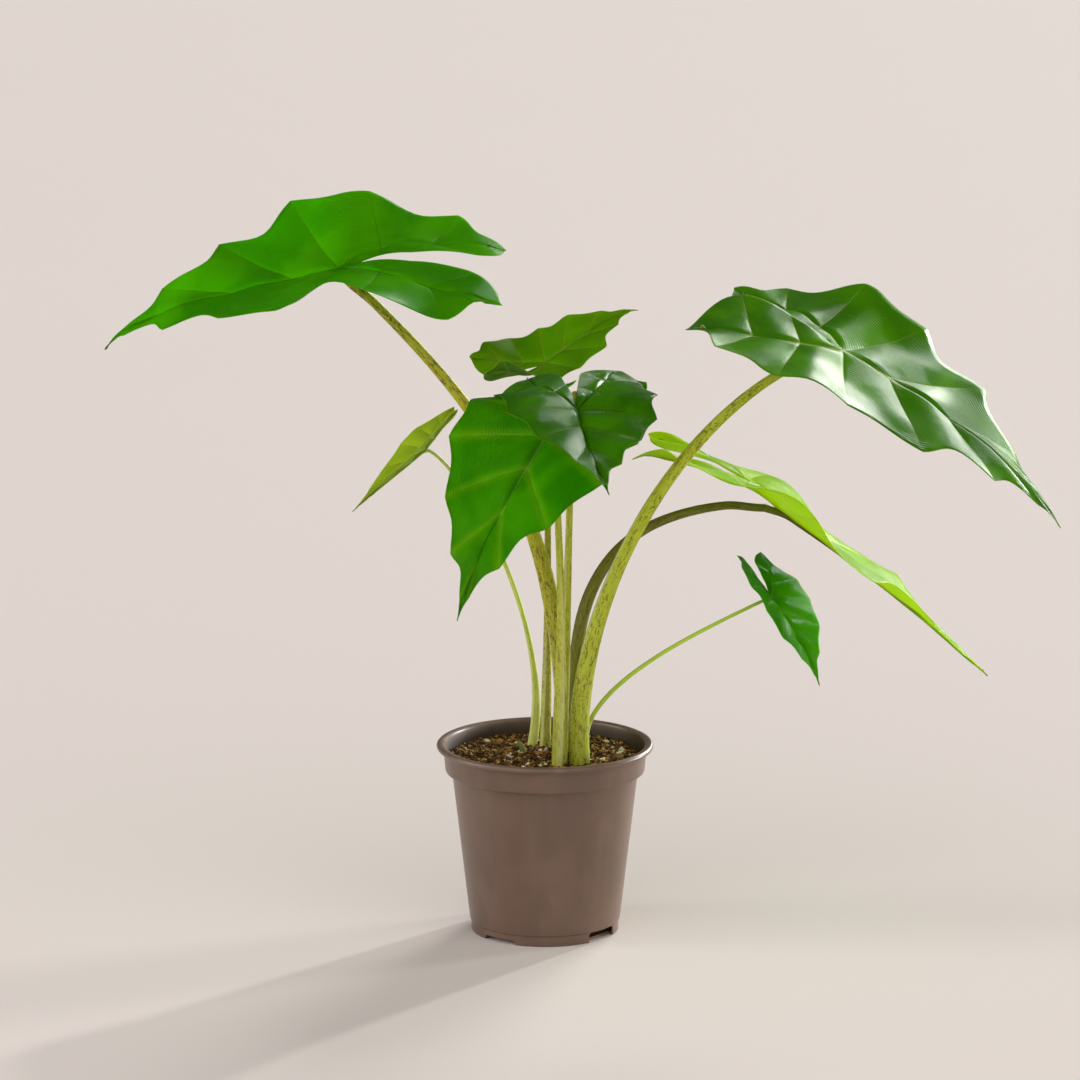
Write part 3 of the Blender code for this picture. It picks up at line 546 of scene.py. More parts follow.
def blade_half(leaf, which, seed):
    """One flat half of a blade, as rows from the rib out to the margin. Gives each point's x and y, its place
    among the veins (for the margin and the ruffle, and for the vein pattern), its share of the way out from
    the rib, and how far along its rib the row starts."""
    front = branch_places(FRONT_VEINS) / FRONT_VEINS
    lobe = branch_places(LOBE_VEINS)[1:] / LOBE_VEINS
    sinus = 1 - np.concatenate([[0], lobe])[::-1][1:]
    inside = curve_through(SINUS_MARGIN, sinus)
    inside[:, 0] *= 1 - (1 - leaf["sinus"][which]) * smoothstep(sinus / 0.4)
    margin = np.vstack([curve_through(FRONT_MARGIN, front), curve_through(LOBE_MARGIN, lobe), inside])
    end = np.array(LOBE_RIB_END)

    def lobe_rib(share):
        share = share[:, None]
        return end * share + np.array([0.14, 0.12]) * share * (1 - share)

    midrib = np.stack([0 * front, (1 - front) ** VEIN_CROWDING], 1)
    rib = np.vstack([midrib, lobe_rib(lobe), lobe_rib(1 - sinus)])
    front_and_lobe = [FRONT_VEINS * front, FRONT_VEINS + LOBE_VEINS * lobe]
    place = np.concatenate([*front_and_lobe, FRONT_VEINS + LOBE_VEINS + SINUS_VEINS * sinus])
    branch = np.concatenate([*front_and_lobe, FRONT_VEINS + LOBE_VEINS * (1 - sinus)])
    along = np.concatenate([1 - front, lobe, 1 - sinus])
    inner = smoothstep((place - 0.6) / 1.2) * (1 - smoothstep((place - FRONT_VEINS - LOBE_VEINS + 0.6) / 0.8))
    outward = margin - rib
    outward /= np.maximum(np.linalg.norm(outward, axis=1), 1e-6)[:, None]
    pointed = 1 - 2 * np.abs(np.sin(pi * place)) ** 0.85
    teeth = 0.55 * np.cos(tau * place) + 0.45 * pointed
    teeth *= 1 + 0.35 * np.sin(2.1 * place + seed)
    margin = margin + outward * (leaf["scallop"] * inner * teeth)[:, None]
    for line in (margin, rib):
        line[:, 0] *= leaf["width"]
        line[:, 1] *= np.where(line[:, 1] < 0, leaf["lobe"], 1)
    shares = np.linspace(0, 1, COLUMNS + 1) ** 1.45
    x = rib[:, :1] + (margin[:, :1] - rib[:, :1]) * shares
    y = rib[:, 1:] + (margin[:, 1:] - rib[:, 1:]) * shares
    spread = [np.broadcast_to(values[:, None], x.shape) for values in (place, branch, along)]
    return x, y, *spread, np.broadcast_to(shares, x.shape)


def midline(leaf):
    """The bent line that the blade follows: y from -1 to 1, and its point, right and up directions there."""
    y = np.linspace(-1, 1, 2 * MIDLINE_STEPS + 1)
    ahead = np.clip(y, 0, 1)
    behind = np.clip(-y, 0, 1)
    rise = np.radians(leaf["back"] * behind - leaf["droop"] * ahead - leaf["hook"] * ahead**4)
    turn = np.radians(leaf["sweep"] * ahead)
    twist = np.radians(leaf["twist"] * ahead)[:, None]
    forward = np.stack([np.sin(turn) * np.cos(rise), np.cos(turn) * np.cos(rise), np.sin(rise)], 1)
    right = np.stack([np.cos(turn), -np.sin(turn), 0 * turn], 1)
    up = np.cross(right, forward)
    right, up = right * np.cos(twist) + up * np.sin(twist), up * np.cos(twist) - right * np.sin(twist)
    steps_between = (forward[1:] + forward[:-1]) / 2 * (y[1] - y[0])
    points = np.vstack([np.zeros(3), np.cumsum(steps_between, 0)])
    return y, points - points[MIDLINE_STEPS], right, up


def at_places(y, values, line_y):
    """The midline's values at places y along it."""
    return np.stack([np.interp(y, line_y, values[:, axis]) for axis in range(3)], -1)


def bent_half(leaf, side, seed):
    """The points of one half of the blade in the leaf's own frame, and at each: its share of the way out, its
    place among the veins and along its rib, and how far it is from the rib, the side vein and the margin."""
    which = 0 if side > 0 else 1
    x, y, place, branch, along, shares = blade_half(leaf, which, seed + side)
    line_y, line_points, line_right, line_up = midline(leaf)
    back = smoothstep(-y / HALF_WIDTH)
    fold = leaf["fold"][which] * (1 - back) + leaf["lobe_fold"][which] * back
    angle = np.radians(fold + 0.5 * leaf["curl"][which] * np.abs(x) / HALF_WIDTH)
    outer = shares**1.5 * np.clip(1.6 * np.abs(x) / HALF_WIDTH, 0, 1)
    ruffle = leaf["ruffle"] * np.sin(pi * place + 0.7 * side) * outer
    across = side * x * np.cos(angle)
    lift = x * np.sin(angle) + ruffle
    centre, right, up = (at_places(y, values, line_y) for values in (line_points, line_right, line_up))
    points = (centre + across[..., None] * right + lift[..., None] * up) * leaf["length"]

    rib_reach = np.linalg.norm(points - points[:, :1], axis=-1)
    edge_reach = np.linalg.norm(points - points[:, -1:], axis=-1)
    step = np.gradient(branch, axis=0)
    step = np.where(np.abs(step) < 1e-6, 1e-6, step)
    spacing = np.linalg.norm(np.gradient(points, axis=0), axis=-1) / np.abs(step)
    vein_reach = np.abs(branch - np.round(branch)) * spacing
    return points, shares, branch, along, rib_reach, vein_reach, edge_reach


def blade_faces(rows, columns, first, flip):
    """Four-sided faces over a grid of points that starts at the number first."""
    corner = first + np.arange(rows - 1)[:, None] * columns + np.arange(columns - 1)
    faces = np.stack([corner, corner + 1, corner + columns + 1, corner + columns], -1).reshape(-1, 4)
    return faces[:, ::-1] if flip else faces


def leaf_relief(leaf, shares, branch, along, rib_reach, vein_reach, edge_reach):
    """How far the upper face stands over the smooth blade, and how thick the blade is, in metres.
    Near a tip, where the rib and the margin meet, there is no room for either."""
    size = leaf["length"]
    between = np.abs(np.sin(pi * branch))
    away = smoothstep(shares / 0.10)
    room = smoothstep((rib_reach + edge_reach) / (0.10 * size))
    swell = PUFF * size * between**1.2 * away * (1 - 0.55 * shares**3) * smoothstep(branch / 1.2) * room
    channel = CHANNEL * size * np.exp(-((rib_reach / (0.016 * size)) ** 2)) * room
    groove = 0.00045 * np.exp(-((vein_reach / 0.0011) ** 2)) * smoothstep(shares / 0.05) * (1 - shares)
    top = swell - channel - groove
    scale = (size / 0.24) ** 0.6
    rib_height = scale * RIB_RISE * (1 - 0.88 * along)
    rib_width = scale * (0.0009 + 0.0022 * (1 - along))
    rib = rib_height * np.exp(-((rib_reach / rib_width) ** 2))
    vein = scale * VEIN_RISE * (1 - shares) ** 0.8 * np.exp(-((vein_reach / 0.0012) ** 2))
    vein = vein * smoothstep(shares / 0.03)
    return top, BLADE_THICKNESS * (1 - 0.45 * shares**4) + np.maximum(rib, vein) * (0.15 + 0.85 * room)


def leaf_matrix(leaf):
    """Turns the leaf's own frame to its heading, pitch and roll, and puts its hub in place."""
    heading, pitch = radians(leaf["heading"]), radians(leaf["pitch"])
    forward = Vector((cos(heading) * cos(pitch), sin(heading) * cos(pitch), sin(pitch)))
    right = Vector((sin(heading), -cos(heading), 0))
    axes = Matrix((right, forward, right.cross(forward))).transposed()
    turn = Matrix.Rotation(radians(leaf["roll"]), 3, forward) @ axes
    return Matrix.Translation(Vector(leaf["hub"]) + Vector(SOIL_MIDDLE)) @ turn.to_4x4()


def make_leaf(name, leaf, seed):
    """A blade: its two halves joined, raised by the relief, and thickened downwards, most along the ribs."""
    halves = [bent_half(leaf, side, seed) for side in (1, -1)]
    rows, columns = halves[0][1].shape
    points = np.vstack([half[0].reshape(-1, 3) for half in halves])
    shares, branch, along, rib_reach, vein_reach, edge_reach = (
        np.concatenate([half[number].reshape(-1) for half in halves]) for number in range(1, 7)
    )
    grids = ((0, True), (rows * columns, False))
    faces = np.vstack([blade_faces(rows, columns, first, flip) for first, flip in grids])
    top, thickness = leaf_relief(leaf, shares, branch, along, rib_reach, vein_reach, edge_reach)
    mesh = bpy.data.meshes.new(f"leaf_{name}_blade")
    mesh.from_pydata(points, [], faces.tolist())
    corners = faces.reshape(-1)  # "blade" and "reach" differ on both sides of a rib, so corners hold them
    give_points(mesh, "blade", np.stack([shares, branch, along], 1)[corners], "CORNER")
    give_points(mesh, "reach", np.stack([rib_reach, vein_reach, edge_reach], 1)[corners] * 1000, "CORNER")
    give_points(mesh, "relief", np.stack([top, thickness, 0 * top], 1))
    shape = bmesh.new()
    shape.from_mesh(mesh)
    bmesh.ops.remove_doubles(shape, verts=shape.verts, dist=0.00003)
    shape.to_mesh(mesh)
    shape.free()

    count = len(mesh.vertices)
    places, normals, relief = (np.empty(3 * count, np.float32) for _ in range(3))
    mesh.vertices.foreach_get("co", places)
    mesh.vertex_normals.foreach_get("vector", normals)
    mesh.attributes["relief"].data.foreach_get("vector", relief)
    mesh.attributes.remove(mesh.attributes["relief"])
    places, normals, relief = (values.reshape(-1, 3) for values in (places, normals, relief))
    uneven = np.array([noise.noise(Vector(place) * 26 + Vector((seed, 0, 0))) for place in places])
    places = places + normals * (relief[:, :1] + 0.0016 * uneven[:, None] * leaf["length"] / 0.24)
    mesh.vertices.foreach_set("co", places.reshape(-1))
    mesh.update()

    look = LEAF_LOOKS[name]
    materials = [leaf_top_material(f"leaf_{name}", look), leaf_under_material(f"leaf_{name}", look)]
    mesh.transform(leaf_matrix(leaf))
    piece = add_piece(f"blade_{name}", smooth(mesh), materials, f"leaf_{name}")
    thickest = float(relief[:, 1].max())
    group = piece.vertex_groups.new(name="thickness")
    for number, value in enumerate(relief[:, 1] / thickest):
        group.add([number], float(value), "REPLACE")
    solid = piece.modifiers.new("thickness", "SOLIDIFY")
    solid.thickness = thickest
    solid.offset = -1
    solid.vertex_group = "thickness"
    solid.material_offset = 1
    solid.material_offset_rim = 0


# ---------------------------------------------------------------- stalks
def stalk_path(stalk, leaf, shares):
    """Points along a stalk, measured from the soil's middle: a Bezier curve from the foot to the hub."""
    foot = np.array([*stalk["foot"], 0.0])
    hub = np.array(leaf["hub"])
    reach = np.linalg.norm(hub - foot)
    lean = np.array([tan(radians(stalk["lean"][0])), tan(radians(stalk["lean"][1])), 1])
    azimuth, elevation = radians(stalk["azimuth"]), radians(stalk["elevation"])
    travel = np.array([cos(azimuth) * cos(elevation), sin(azimuth) * cos(elevation), sin(elevation)])
    start = foot + reach * stalk["rise"] * lean
    finish = hub - reach * stalk["reach"] * travel
    t = np.asarray(shares)[:, None]
    return (1 - t)**3 * foot + 3 * (1 - t)**2 * t * start + 3 * (1 - t) * t * t * finish + t**3 * hub


def stalk_radii(stalk, shares):
    """Radius along the stalk: a wide sheath that narrows to the stalk, and a slow taper up to the hub."""
    shares = np.asarray(shares)
    wide, middle, thin = (value / 2 for value in stalk["thick"])
    up = smoothstep(shares / stalk["sheath"])
    slender = middle + (thin - middle) * np.clip((shares - stalk["sheath"]) / (1 - stalk["sheath"]), 0, 1)
    return wide * (1 - up) + slender * up


def rib_run(stalk, leaf):
    """How the stalk runs on under the blade as its midrib: points from the soil's middle, and radii."""
    line_y, line_points, _, line_up = midline(leaf)
    y = np.array([0.05, 0.12, 0.22, 0.34])
    radii = stalk["thick"][2] / 2 * np.array([0.80, 0.60, 0.42, 0.26])
    centre = at_places(y, line_points, line_y) * leaf["length"]
    down = at_places(y, line_up, line_y) * (radii + CHANNEL * leaf["length"] + 0.0003)[:, None]
    turned = np.array(leaf_matrix(leaf).to_3x3()) @ (centre - down).T
    return turned.T + np.array(leaf["hub"]), radii


def ring_frames(points):
    """Two crosswise directions at every point of a path, without any spin."""
    tangents = np.gradient(points, axis=0)
    tangents /= np.linalg.norm(tangents, axis=1)[:, None]
    across = []
    normal = np.array([1.0, 0.0, 0.0])
    for tangent in tangents:
        normal = normal - tangent * normal.dot(tangent)
        normal /= np.linalg.norm(normal)
        across.append(normal)
    across = np.array(across)
    return across, np.cross(tangents, across)


def make_tube(name, points, radii, sides, shape_at):
    """A closed tube with flat ends. shape_at(share, angle) widens or narrows it. Gives its mesh, and every
    point's share along it and angle round it."""
    points, radii = np.asarray(points), np.asarray(radii)
    lengths = np.concatenate([[0], np.cumsum(np.linalg.norm(np.diff(points, axis=0), axis=1))])
    across, beside = ring_frames(points)
    angle = tau * np.arange(sides) / sides
    share = lengths / lengths[-1]
    wide = shape_at(share[:, None], angle[None, :])
    out = np.cos(angle)[None, :, None] * across[:, None] + np.sin(angle)[None, :, None] * beside[:, None]
    rings = points[:, None] + out * (radii[:, None] * wide)[..., None]
    count = len(points)
    first = np.arange(count - 1)[:, None] * sides
    step = np.arange(sides)
    after = (step + 1) % sides
    corners = [first + step, first + after, first + after + sides, first + step + sides]
    faces = np.stack(corners, -1).reshape(-1, 4)
    caps = [list(range(sides))[::-1], list(range((count - 1) * sides, count * sides))]
    mesh = bpy.data.meshes.new(name)
    mesh.from_pydata(rings.reshape(-1, 3), [], [*faces.tolist(), *caps])
    share, lengths, angle = (
        np.broadcast_to(values, (count, sides)) for values in (share[:, None], lengths[:, None], angle)
    )
    round_place = np.stack([np.cos(angle) * radii[:, None], np.sin(angle) * radii[:, None], lengths], -1)
    give_points(mesh, "round", round_place.reshape(-1, 3) * 1000)
    return mesh, share, angle


def sheath_edge(angle, edge_angle):
    """0 to 1 round the stalk: rises slowly from the sheath's free edge all round, and drops back at it."""
    turn = ((angle - edge_angle) / tau) % 1
    return np.where(turn < 0.93, turn / 0.93, (1 - turn) / 0.07)


def make_stalk(name, stalk, leaf, number):
    """A stalk, from under the soil to the hub and on under the blade, with a sheath round its lower part."""
    shares = np.linspace(0, 0.985, STALK_RINGS) ** 1.05
    points = stalk_path(stalk, leaf, shares)
    radii = stalk_radii(stalk, shares)
    rib_points, rib_radii = rib_run(stalk, leaf)
    up = np.array(leaf_matrix(leaf).to_3x3() @ Vector((0, 0, 1)))
    under = radii + CHANNEL * leaf["length"] + 0.0005
    points = points - up * (under * smoothstep((shares - 0.90) / 0.085))[:, None]
    joined = np.vstack([points[-1:], rib_points])
    steps = np.linspace(0, 1, RIB_RINGS + 1)[1:]
    bend = curve_through(joined, steps)
    bend_radii = np.interp(steps, np.linspace(0, 1, 5), [radii[-1], *rib_radii])
    first = (points[1] - points[0]) / (points[1] - points[0])[2]
    below = [points[0] - first * 0.012, points[0] - first * 0.004]
    points = np.vstack([below, points, bend]) + SOIL_MIDDLE
    radii = np.concatenate([[radii[0] * 0.96, radii[0]], radii, bend_radii])
    edge_angle = radians(SHEATH_EDGES[name])
    sheath = stalk["sheath"]

    def clasp_and_edge(share, angle):
        clasp = 1 - smoothstep((share - sheath * 0.80) / (sheath * 0.45))
        return clasp, sheath_edge(angle, edge_angle + 0.5 * np.sin(5 * share))

    def shape_at(share, angle):
        clasp, near = clasp_and_edge(share, angle)
        wave = 0.018 * np.sin(3 * angle + 40 * share + number) * np.sin(9 * share + number)
        return 1 + 0.26 * clasp * (near - 0.5) + wave

    mesh, share, angle = make_tube(f"stem_{name}", points, radii, STALK_SIDES, shape_at)
    clasp, near = clasp_and_edge(share, angle)
    edge = np.clip((near - 0.86) / 0.14, 0, 1) * clasp
    give_points(mesh, "run", np.stack([share, clasp, edge], -1).reshape(-1, 3))
    look = stalk_material(f"stalk_{name}", STALK_LOOKS[name])
    add_piece(f"stem_{name}", smooth(mesh, 50), [look], f"stalk_{name}")


def make_shoot():
    """The new shoot: a short, rolled tip that leans out of the soil."""
    foot = np.array([*SHOOT_FOOT, 0.0])
    lean = np.array([tan(radians(SHOOT_LEAN[0])), tan(radians(SHOOT_LEAN[1])), 1])
    shares = np.linspace(0, 1, 30)
    buried = 0.006
    heights = -buried + (SHOOT_HEIGHT + buried) * shares
    points = foot + heights[:, None] * lean + SOIL_MIDDLE
    points[:, 0] += 0.0012 * np.sin(2.4 * shares)
    widths = np.interp(shares, [0, 0.3, 0.55, 0.8, 0.93, 1], [0.9, 1.0, 0.86, 0.55, 0.28, 0.06])

    def edge_at(share, angle):
        return sheath_edge(angle, radians(-70) + 2.2 * share)

    def shape_at(share, angle):
        return 1 + 0.20 * (edge_at(share, angle) - 0.5)

    mesh, share, angle = make_tube("bud", points, SHOOT_DIAMETER / 2 * widths, 24, shape_at)
    edge = np.clip((edge_at(share, angle) - 0.85) / 0.15, 0, 1)
    give_points(mesh, "run", np.stack([share, 1 - share, edge], -1).reshape(-1, 3))
    look = dict(foot=(0.14, 0.13, 0.03), middle=(0.09, 0.11, 0.015), top=(0.12, 0.18, 0.02), flecks=0.5)
    add_piece("bud", smooth(mesh, 50), [stalk_material("young_shoot", look)], "new_shoot")


# ---------------------------------------------------------------- pot
def wall_radius(z):
    top_radius = RIM_RADIUS - LIP_OUT - COLLAR_DRAFT - COLLAR_STEP
    return BASE_RADIUS + (top_radius - BASE_RADIUS) * (z - FOOT_HEIGHT) / (COLLAR_LOW - FOOT_HEIGHT)


def collar_radius(z):
    return RIM_RADIUS - LIP_OUT - COLLAR_DRAFT * (POT_HEIGHT - z) / COLLAR_HEIGHT


def arc(centre_radius, centre_z, radius, start, end, steps=6):
    """Points of a rounded corner in the pot's profile, by angles in degrees from straight outwards."""
    angles = np.radians(np.linspace(start, end, steps))
    return [(centre_radius + radius * cos(angle), centre_z + radius * sin(angle)) for angle in angles]


def pot_profile():
    """The pot's cross-section as (radius, z), up the outside, over the rolled lip and down the inside."""
    foot_radius = BASE_RADIUS - FOOT_STEP
    lip = LIP_DEPTH / 2
    collar_round = 0.0022
    outside = [(0, 0), (foot_radius * 0.5, 0), *arc(foot_radius - 0.0012, 0.0012, 0.0012, -90, 0)]
    outside += [(foot_radius, FOOT_HEIGHT - FOOT_STEP)]
    outside += arc(BASE_RADIUS - 0.0007, FOOT_HEIGHT + 0.0004, 0.0007, -60, 0, 4)
    outside += [(wall_radius(z), z) for z in np.linspace(FOOT_HEIGHT + 0.004, COLLAR_LOW - 0.0015, 14)]
    collar_start = COLLAR_LOW + 0.0007
    under = wall_radius(COLLAR_LOW)
    outside += [(under + 0.0004, COLLAR_LOW), (under + 0.0018, collar_start)]
    corner = collar_radius(COLLAR_LOW) - collar_round
    outside += arc(corner, collar_start + collar_round, collar_round, -78, 0)
    lip_start = POT_HEIGHT - LIP_DEPTH
    outside += [(collar_radius(z), z) for z in np.linspace(COLLAR_LOW + 0.006, lip_start - 0.0012, 4)]
    outside += [(collar_radius(lip_start) + 0.0006, lip_start - 0.0002)]
    outside += arc(RIM_RADIUS - lip, POT_HEIGHT - lip, lip, -80, 90, 12)
    top = [(RIM_RADIUS - LIP_OUT + 0.0012, POT_HEIGHT - 0.0001)]
    top += [(collar_radius(POT_HEIGHT) - WALL + 0.0005, POT_HEIGHT - 0.0010)]
    heights = (POT_HEIGHT - 0.0030, SOIL_LEVEL, COLLAR_LOW + WALL + 0.0020)
    inside = [(collar_radius(z) - WALL, z) for z in heights]
    heights = (COLLAR_LOW + WALL - 0.0020, COLLAR_LOW * 0.5, FOOT_HEIGHT + 0.001)
    inside += [(wall_radius(z) - WALL, z) for z in heights]
    inside += [(foot_radius - WALL, z) for z in (FOOT_HEIGHT - 0.001, FLOOR_THICKNESS)]
    inside += [(foot_radius * 0.5, FLOOR_THICKNESS), (0, FLOOR_THICKNESS)]
    return outside + top + inside


def ring_of(shape, radius, z, rise=None):
    """A full turn of points about Z, or one point on the axis, raised by rise(x, y)."""
    ring = []
    for step in range(1 if radius < 1e-6 else POT_SEGMENTS):
        x, y = radius * cos(tau * step / POT_SEGMENTS), radius * sin(tau * step / POT_SEGMENTS)
        ring.append(shape.verts.new((x, y, z + (rise(x, y) if rise else 0))))
    return ring


def turned_mesh(name, shape, rings):
    """A closed solid from rings of points, of which the first and the last are one point on the axis."""
    for low, high in zip(rings, rings[1:]):
        for step in range(POT_SEGMENTS):
            after = (step + 1) % POT_SEGMENTS
            pairs = ((low, step), (low, after), (high, after), (high, step))
            unique = list(dict.fromkeys(ring[number % len(ring)] for ring, number in pairs))
            if len(unique) > 2:
                shape.faces.new(unique)
    bmesh.ops.recalc_face_normals(shape, faces=shape.faces)
    return finished_mesh(name, shape)


def notch_cutter(turn, height):
    """A drainage notch: a block with a rounded top that reaches in from outside the foot."""
    shape = bmesh.new()
    outline = [(-NOTCH_WIDTH / 2, -0.01), (NOTCH_WIDTH / 2, -0.01)]
    corner = min(0.0035, height * 0.6)
    outline += arc(NOTCH_WIDTH / 2 - corner, height - corner, corner, 0, 90)
    outline += arc(-NOTCH_WIDTH / 2 + corner, height - corner, corner, 90, 180)
    inner, outer = BASE_RADIUS - NOTCH_REACH, BASE_RADIUS + 0.01
    near = [shape.verts.new((inner, across, z)) for across, z in outline]
    far = [shape.verts.new((outer, across, z)) for across, z in outline]
    shape.faces.new(near)
    shape.faces.new(far[::-1])
    for number in range(len(outline)):
        after = (number + 1) % len(outline)
        shape.faces.new((near[number], near[after], far[after], far[number]))
    bmesh.ops.rotate(shape, matrix=Matrix.Rotation(turn, 3, "Z"), verts=shape.verts)
    bmesh.ops.recalc_face_normals(shape, faces=shape.faces)
    return new_object("notch", finished_mesh("notch", shape))


def make_pot():
    """The pot, turned from its profile, with drainage notches that are high and low by turns."""
    shape = bmesh.new()
    mesh = turned_mesh("plant_pot", shape, [ring_of(shape, radius, z) for radius, z in pot_profile()])
    shaped = new_object("shaping", mesh)
    cutters = []
    for number in range(NOTCH_COUNT):
        turn = -pi / 2 + tau * (number + 0.5) / NOTCH_COUNT + radians(NOTCH_TURN)
        cutter = notch_cutter(turn, NOTCH_HEIGHTS[number % 2])
        modifier = shaped.modifiers.new("notch", "BOOLEAN")
        modifier.object = cutter
        cutters.append(cutter)
    graph = bpy.context.evaluated_depsgraph_get()
    final = bpy.data.meshes.new_from_object(shaped.evaluated_get(graph))
    final.name = "plant_pot"
    for obj in [*cutters, shaped]:
        bpy.data.objects.remove(obj)
    add_piece("plant_pot", smooth(final, 32), [pot_material()], "nursery_pot")


# ---------------------------------------------------------------- soil
def soil_rise(x, y):
    """How far the soil stands over its level at (x, y): the model's low crown and waves, broken up finely."""
    away = (x * x + y * y) / (0.045 * 0.045)
    waves = sin(95 * x + 1.3) * cos(120 * y - 0.4) + 0.6 * sin(170 * x - 210 * y + 0.8)
    place = Vector((x, y, 0))
    lumps = sum(height * noise.noise(place * scale) for height, scale in SOIL_LUMPS)
    return SOIL_CROWN * exp(-away) + SOIL_UNEVEN * waves + lumps


def make_soil():
    """The potting mix: a fine, uneven top over a plain body that fills the pot."""
    shape = bmesh.new()
    top_radius = collar_radius(SOIL_LEVEL - 0.004) - WALL - 0.0004
    radii = [top_radius * number / SOIL_RINGS for number in range(SOIL_RINGS + 1)]
    rings = [ring_of(shape, radius, SOIL_LEVEL, soil_rise) for radius in radii]
    bottom = FOOT_HEIGHT + 0.002
    rings += [ring_of(shape, wall_radius(z) - WALL - 0.0006, z) for z in (COLLAR_LOW - 0.001, bottom)]
    rings.append(ring_of(shape, 0, bottom))
    mesh = turned_mesh("soil_bed", shape, rings)
    look = earth_material("potting_mix", (0.060, 0.030, 0.008), (0.200, 0.110, 0.028))
    add_piece("soil_bed", smooth(mesh), [look], "potting_soil")


def ball(level):
    """The points and faces of a small round ball."""
    shape = bmesh.new()
    bmesh.ops.create_icosphere(shape, subdivisions=level, radius=0.5)
    points = np.array([vert.co for vert in shape.verts])
    faces = np.array([[vert.index for vert in face.verts] for face in shape.faces])
    shape.free()
    return points, faces


def turned_about(first, second, angles):
    """Two coordinates of many lumps' points, turned about the third, by an angle for each lump."""
    cosine, sine = np.cos(angles)[:, None], np.sin(angles)[:, None]
    return first * cosine - second * sine, first * sine + second * cosine


def lumps_mesh(name, centres, lengths, flats, turns, level, chance):
    """Many uneven lumps in one mesh: each a ball, dented, drawn out, flattened, tilted and turned."""
    points, faces = ball(level)
    dents = 1 + 0.55 * (chance.random((len(centres), len(points))) - 0.5)
    lean = 3.0 * (chance.random((len(centres), 3)) - 0.5)
    dents *= 1 + 0.30 * np.sin(7 * np.einsum("nk,mk->nm", lean, points))
    sizes = np.stack([lengths, lengths * flats[0], lengths * flats[1]], -1)
    shaped = points[None] * dents[..., None] * sizes[:, None]
    tilts = 0.7 * (chance.random(len(centres)) - 0.5)
    x, y, z = shaped[..., 0], shaped[..., 1], shaped[..., 2]
    y, z = turned_about(y, z, tilts)
    x, y = turned_about(x, y, turns)
    placed = np.stack([x, y, z], -1) + centres[:, None]
    indices = faces[None] + (np.arange(len(centres)) * len(points))[:, None, None]
    mesh = bpy.data.meshes.new(name)
    mesh.from_pydata(placed.reshape(-1, 3), [], indices.reshape(-1, 3).tolist())
    return mesh


def make_crumbs(name, count, sizes, flats, look, seed, level=1, sink=0.25):
    """Many small lumps, strewn over the soil, with the share sink of each one's height in it. sizes is the
    least and the greatest length, and flats the least width and height as shares of it."""
    chance = np.random.default_rng(seed)
    lengths = sizes[0] + (sizes[1] - sizes[0]) * chance.random(count) ** 2.2
    radius = (collar_radius(SOIL_LEVEL) - WALL - 0.6 * lengths) * np.sqrt(chance.random(count))
    angle = tau * chance.random(count)
    x, y = radius * np.cos(angle), radius * np.sin(angle)
    flats = (flats[0] + 0.3 * chance.random(count), flats[1] + 0.25 * chance.random(count))
    ground = np.array([soil_rise(*place) for place in zip(x, y)])
    centres = np.stack([x, y, SOIL_LEVEL + ground + lengths * flats[1] * (0.5 - sink)], -1)
    mesh = lumps_mesh(name, centres, lengths, flats, tau * chance.random(count), level, chance)
    add_piece(name, smooth(mesh, 55), [look], None)


def make_loose_bits(perlite, bark):
    """The model's own loose grains and chips, each as a broken, uneven lump in the same place."""
    chance = np.random.default_rng(5)
    for node in sorted(name for name in frame["nodes"] if name.startswith(("perlite", "bark_chip"))):
        low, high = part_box(node)
        is_bark = node.startswith("bark")
        longest = np.array([max(high.x - low.x, high.y - low.y)])
        flats = (np.array([0.62 if is_bark else 0.85]), np.array([0.36 if is_bark else 0.75]))
        centre = np.array([(low + high) / 2 - Vector((0, 0, 0.0005))])
        mesh = lumps_mesh(f"loose_{node}", centre, longest, flats, tau * chance.random(1), 3, chance)
        look, slot = (bark, "bark") if is_bark else (perlite, "perlite")
        add_piece(f"loose_{node}", smooth(mesh, 40), [look], node)


def make_potting_mix():
    make_soil()
    perlite = earth_material("perlite", (0.66, 0.56, 0.36), (0.96, 0.90, 0.66), 0.95, 700.0)
    bark = earth_material("bark_chip", (0.170, 0.078, 0.018), (0.480, 0.250, 0.060), 0.85, 420.0)
    dark = earth_material("dark_crumb", (0.030, 0.014, 0.004), (0.120, 0.062, 0.016), 0.95, 500.0)
    ochre = earth_material("ochre_crumb", (0.360, 0.210, 0.050), (0.640, 0.430, 0.140), 0.90, 500.0)
    make_crumbs("dark_crumbs", 1300, (0.0020, 0.0064), (0.6, 0.5), dark, 11)
    make_crumbs("brown_crumbs", 1100, (0.0018, 0.0056), (0.55, 0.45), bark, 23)
    make_crumbs("ochre_crumbs", 520, (0.0014, 0.0048), (0.45, 0.35), ochre, 37)
    make_crumbs("fine_perlite", 190, (0.0014, 0.0040), (0.75, 0.65), perlite, 53, 2, 0.30)
    make_loose_bits(perlite, bark)


# ---------------------------------------------------------------- surroundings
FLOOR_RADIUS = 60.0
CAMERA_PLACE = (-0.0044, -5.0, 1.42)
CAMERA_DIP = 12.09  # degrees that the camera looks down


def floor_material():
    made = Nodes("pale_floor")
    place = made.place()
    clouds = made.noise(place, 0.8, 3.0)
    colour = made.mix(clouds, (0.722, 0.664, 0.624), (0.736, 0.677, 0.636))
    grain = made.noise(place, 400.0, 2.0)
    made.surface(Base_Color=colour, Roughness=0.85, Normal=made.bump(grain, 0.0001, 0.15))
    return made.material


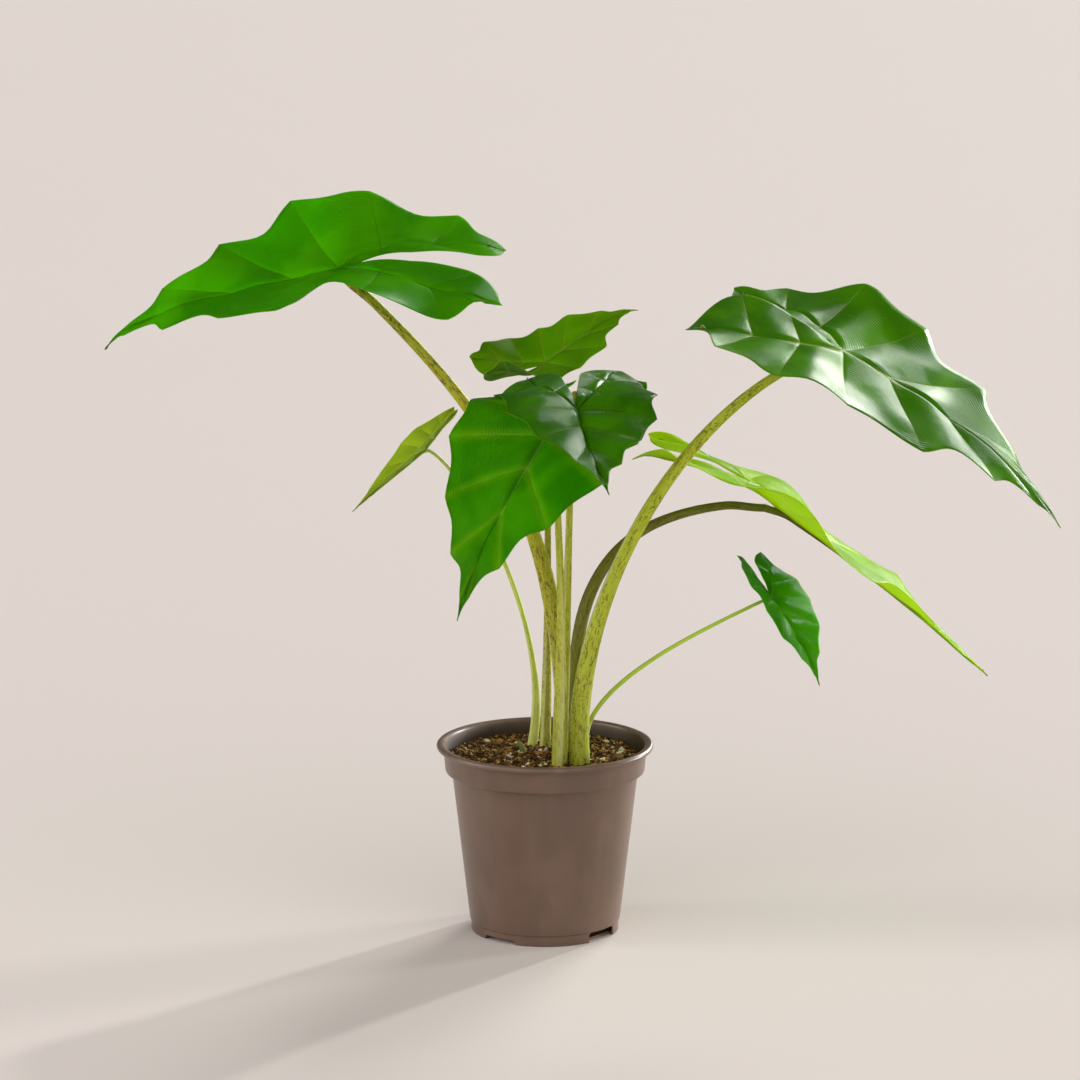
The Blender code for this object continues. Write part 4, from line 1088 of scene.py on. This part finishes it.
def add_sun(name, towards, elevation, spread, strength, colour):
    """Distant light from over the horizon point (x, y), with a soft edge of "spread" degrees."""
    lamp = bpy.data.lights.new(name, "SUN")
    lamp.energy = strength
    lamp.angle = radians(spread)
    lamp.color = colour
    height = radians(elevation)
    direction = Vector((*towards, 0)).normalized() * cos(height) + Vector((0, 0, sin(height)))
    new_object(name, lamp).rotation_euler = direction.to_track_quat("Z", "Y").to_euler()


def make_surroundings():
    shape = bmesh.new()
    bmesh.ops.create_circle(shape, cap_ends=True, segments=96, radius=FLOOR_RADIUS)
    floor = new_object("floor", finished_mesh("floor", shape))
    floor.data.materials.append(floor_material())

    world = bpy.data.worlds.new("studio")
    world.use_nodes = True
    tree = world.node_tree
    sky = tree.nodes["Background"]
    sky.inputs["Color"].default_value = (1.0, 0.955, 0.935, 1)
    # The room is bright in front of the plant and dim behind it, so that the blades keep their colour.
    towards = tree.nodes.new("ShaderNodeSeparateXYZ")
    tree.links.new(tree.nodes.new("ShaderNodeTexCoord").outputs["Generated"], towards.inputs[0])
    fade = tree.nodes.new("ShaderNodeMapRange")
    fade.interpolation_type = "SMOOTHSTEP"
    for name, value in (("From Min", -0.7), ("From Max", 0.22), ("To Min", 1.24), ("To Max", 0.10)):
        fade.inputs[name].default_value = value
    tree.links.new(towards.outputs["Y"], fade.inputs["Value"])
    tree.links.new(fade.outputs["Result"], sky.inputs["Strength"])
    bpy.context.scene.world = world

    add_sun("key", (0.64, 0.77), 17.0, 3.0, 1.6, (1.0, 0.985, 0.98))
    add_sun("back", (0.42, 0.90), 21.0, 20.0, 1.5, (1.0, 0.98, 0.96))
    add_sun("right", (0.90, 0.42), 6.0, 12.0, 2.4, (1.0, 0.985, 0.98))
    add_sun("left", (-1.0, -0.08), 15.0, 22.0, 0.9, (1.0, 0.98, 0.98))


def make_camera():
    camera = bpy.data.cameras.new("camera")
    camera.lens = 196.0
    camera.sensor_width = 36.0
    camera.clip_end = 200
    obj = new_object("camera", camera)
    obj.location = CAMERA_PLACE
    obj.rotation_euler = (radians(90 - CAMERA_DIP), 0, 0)
    bpy.context.scene.camera = obj


def main():
    make_surroundings()
    make_camera()
    make_pot()
    make_potting_mix()
    make_shoot()
    for number, (name, leaf) in enumerate(LEAVES.items()):
        make_leaf(name, leaf, 1.7 * number)
        make_stalk(name, STALKS[name], leaf, number)
    bpy.context.scene.view_settings.view_transform = "Standard"
    bpy.context.view_layer.update()


main()
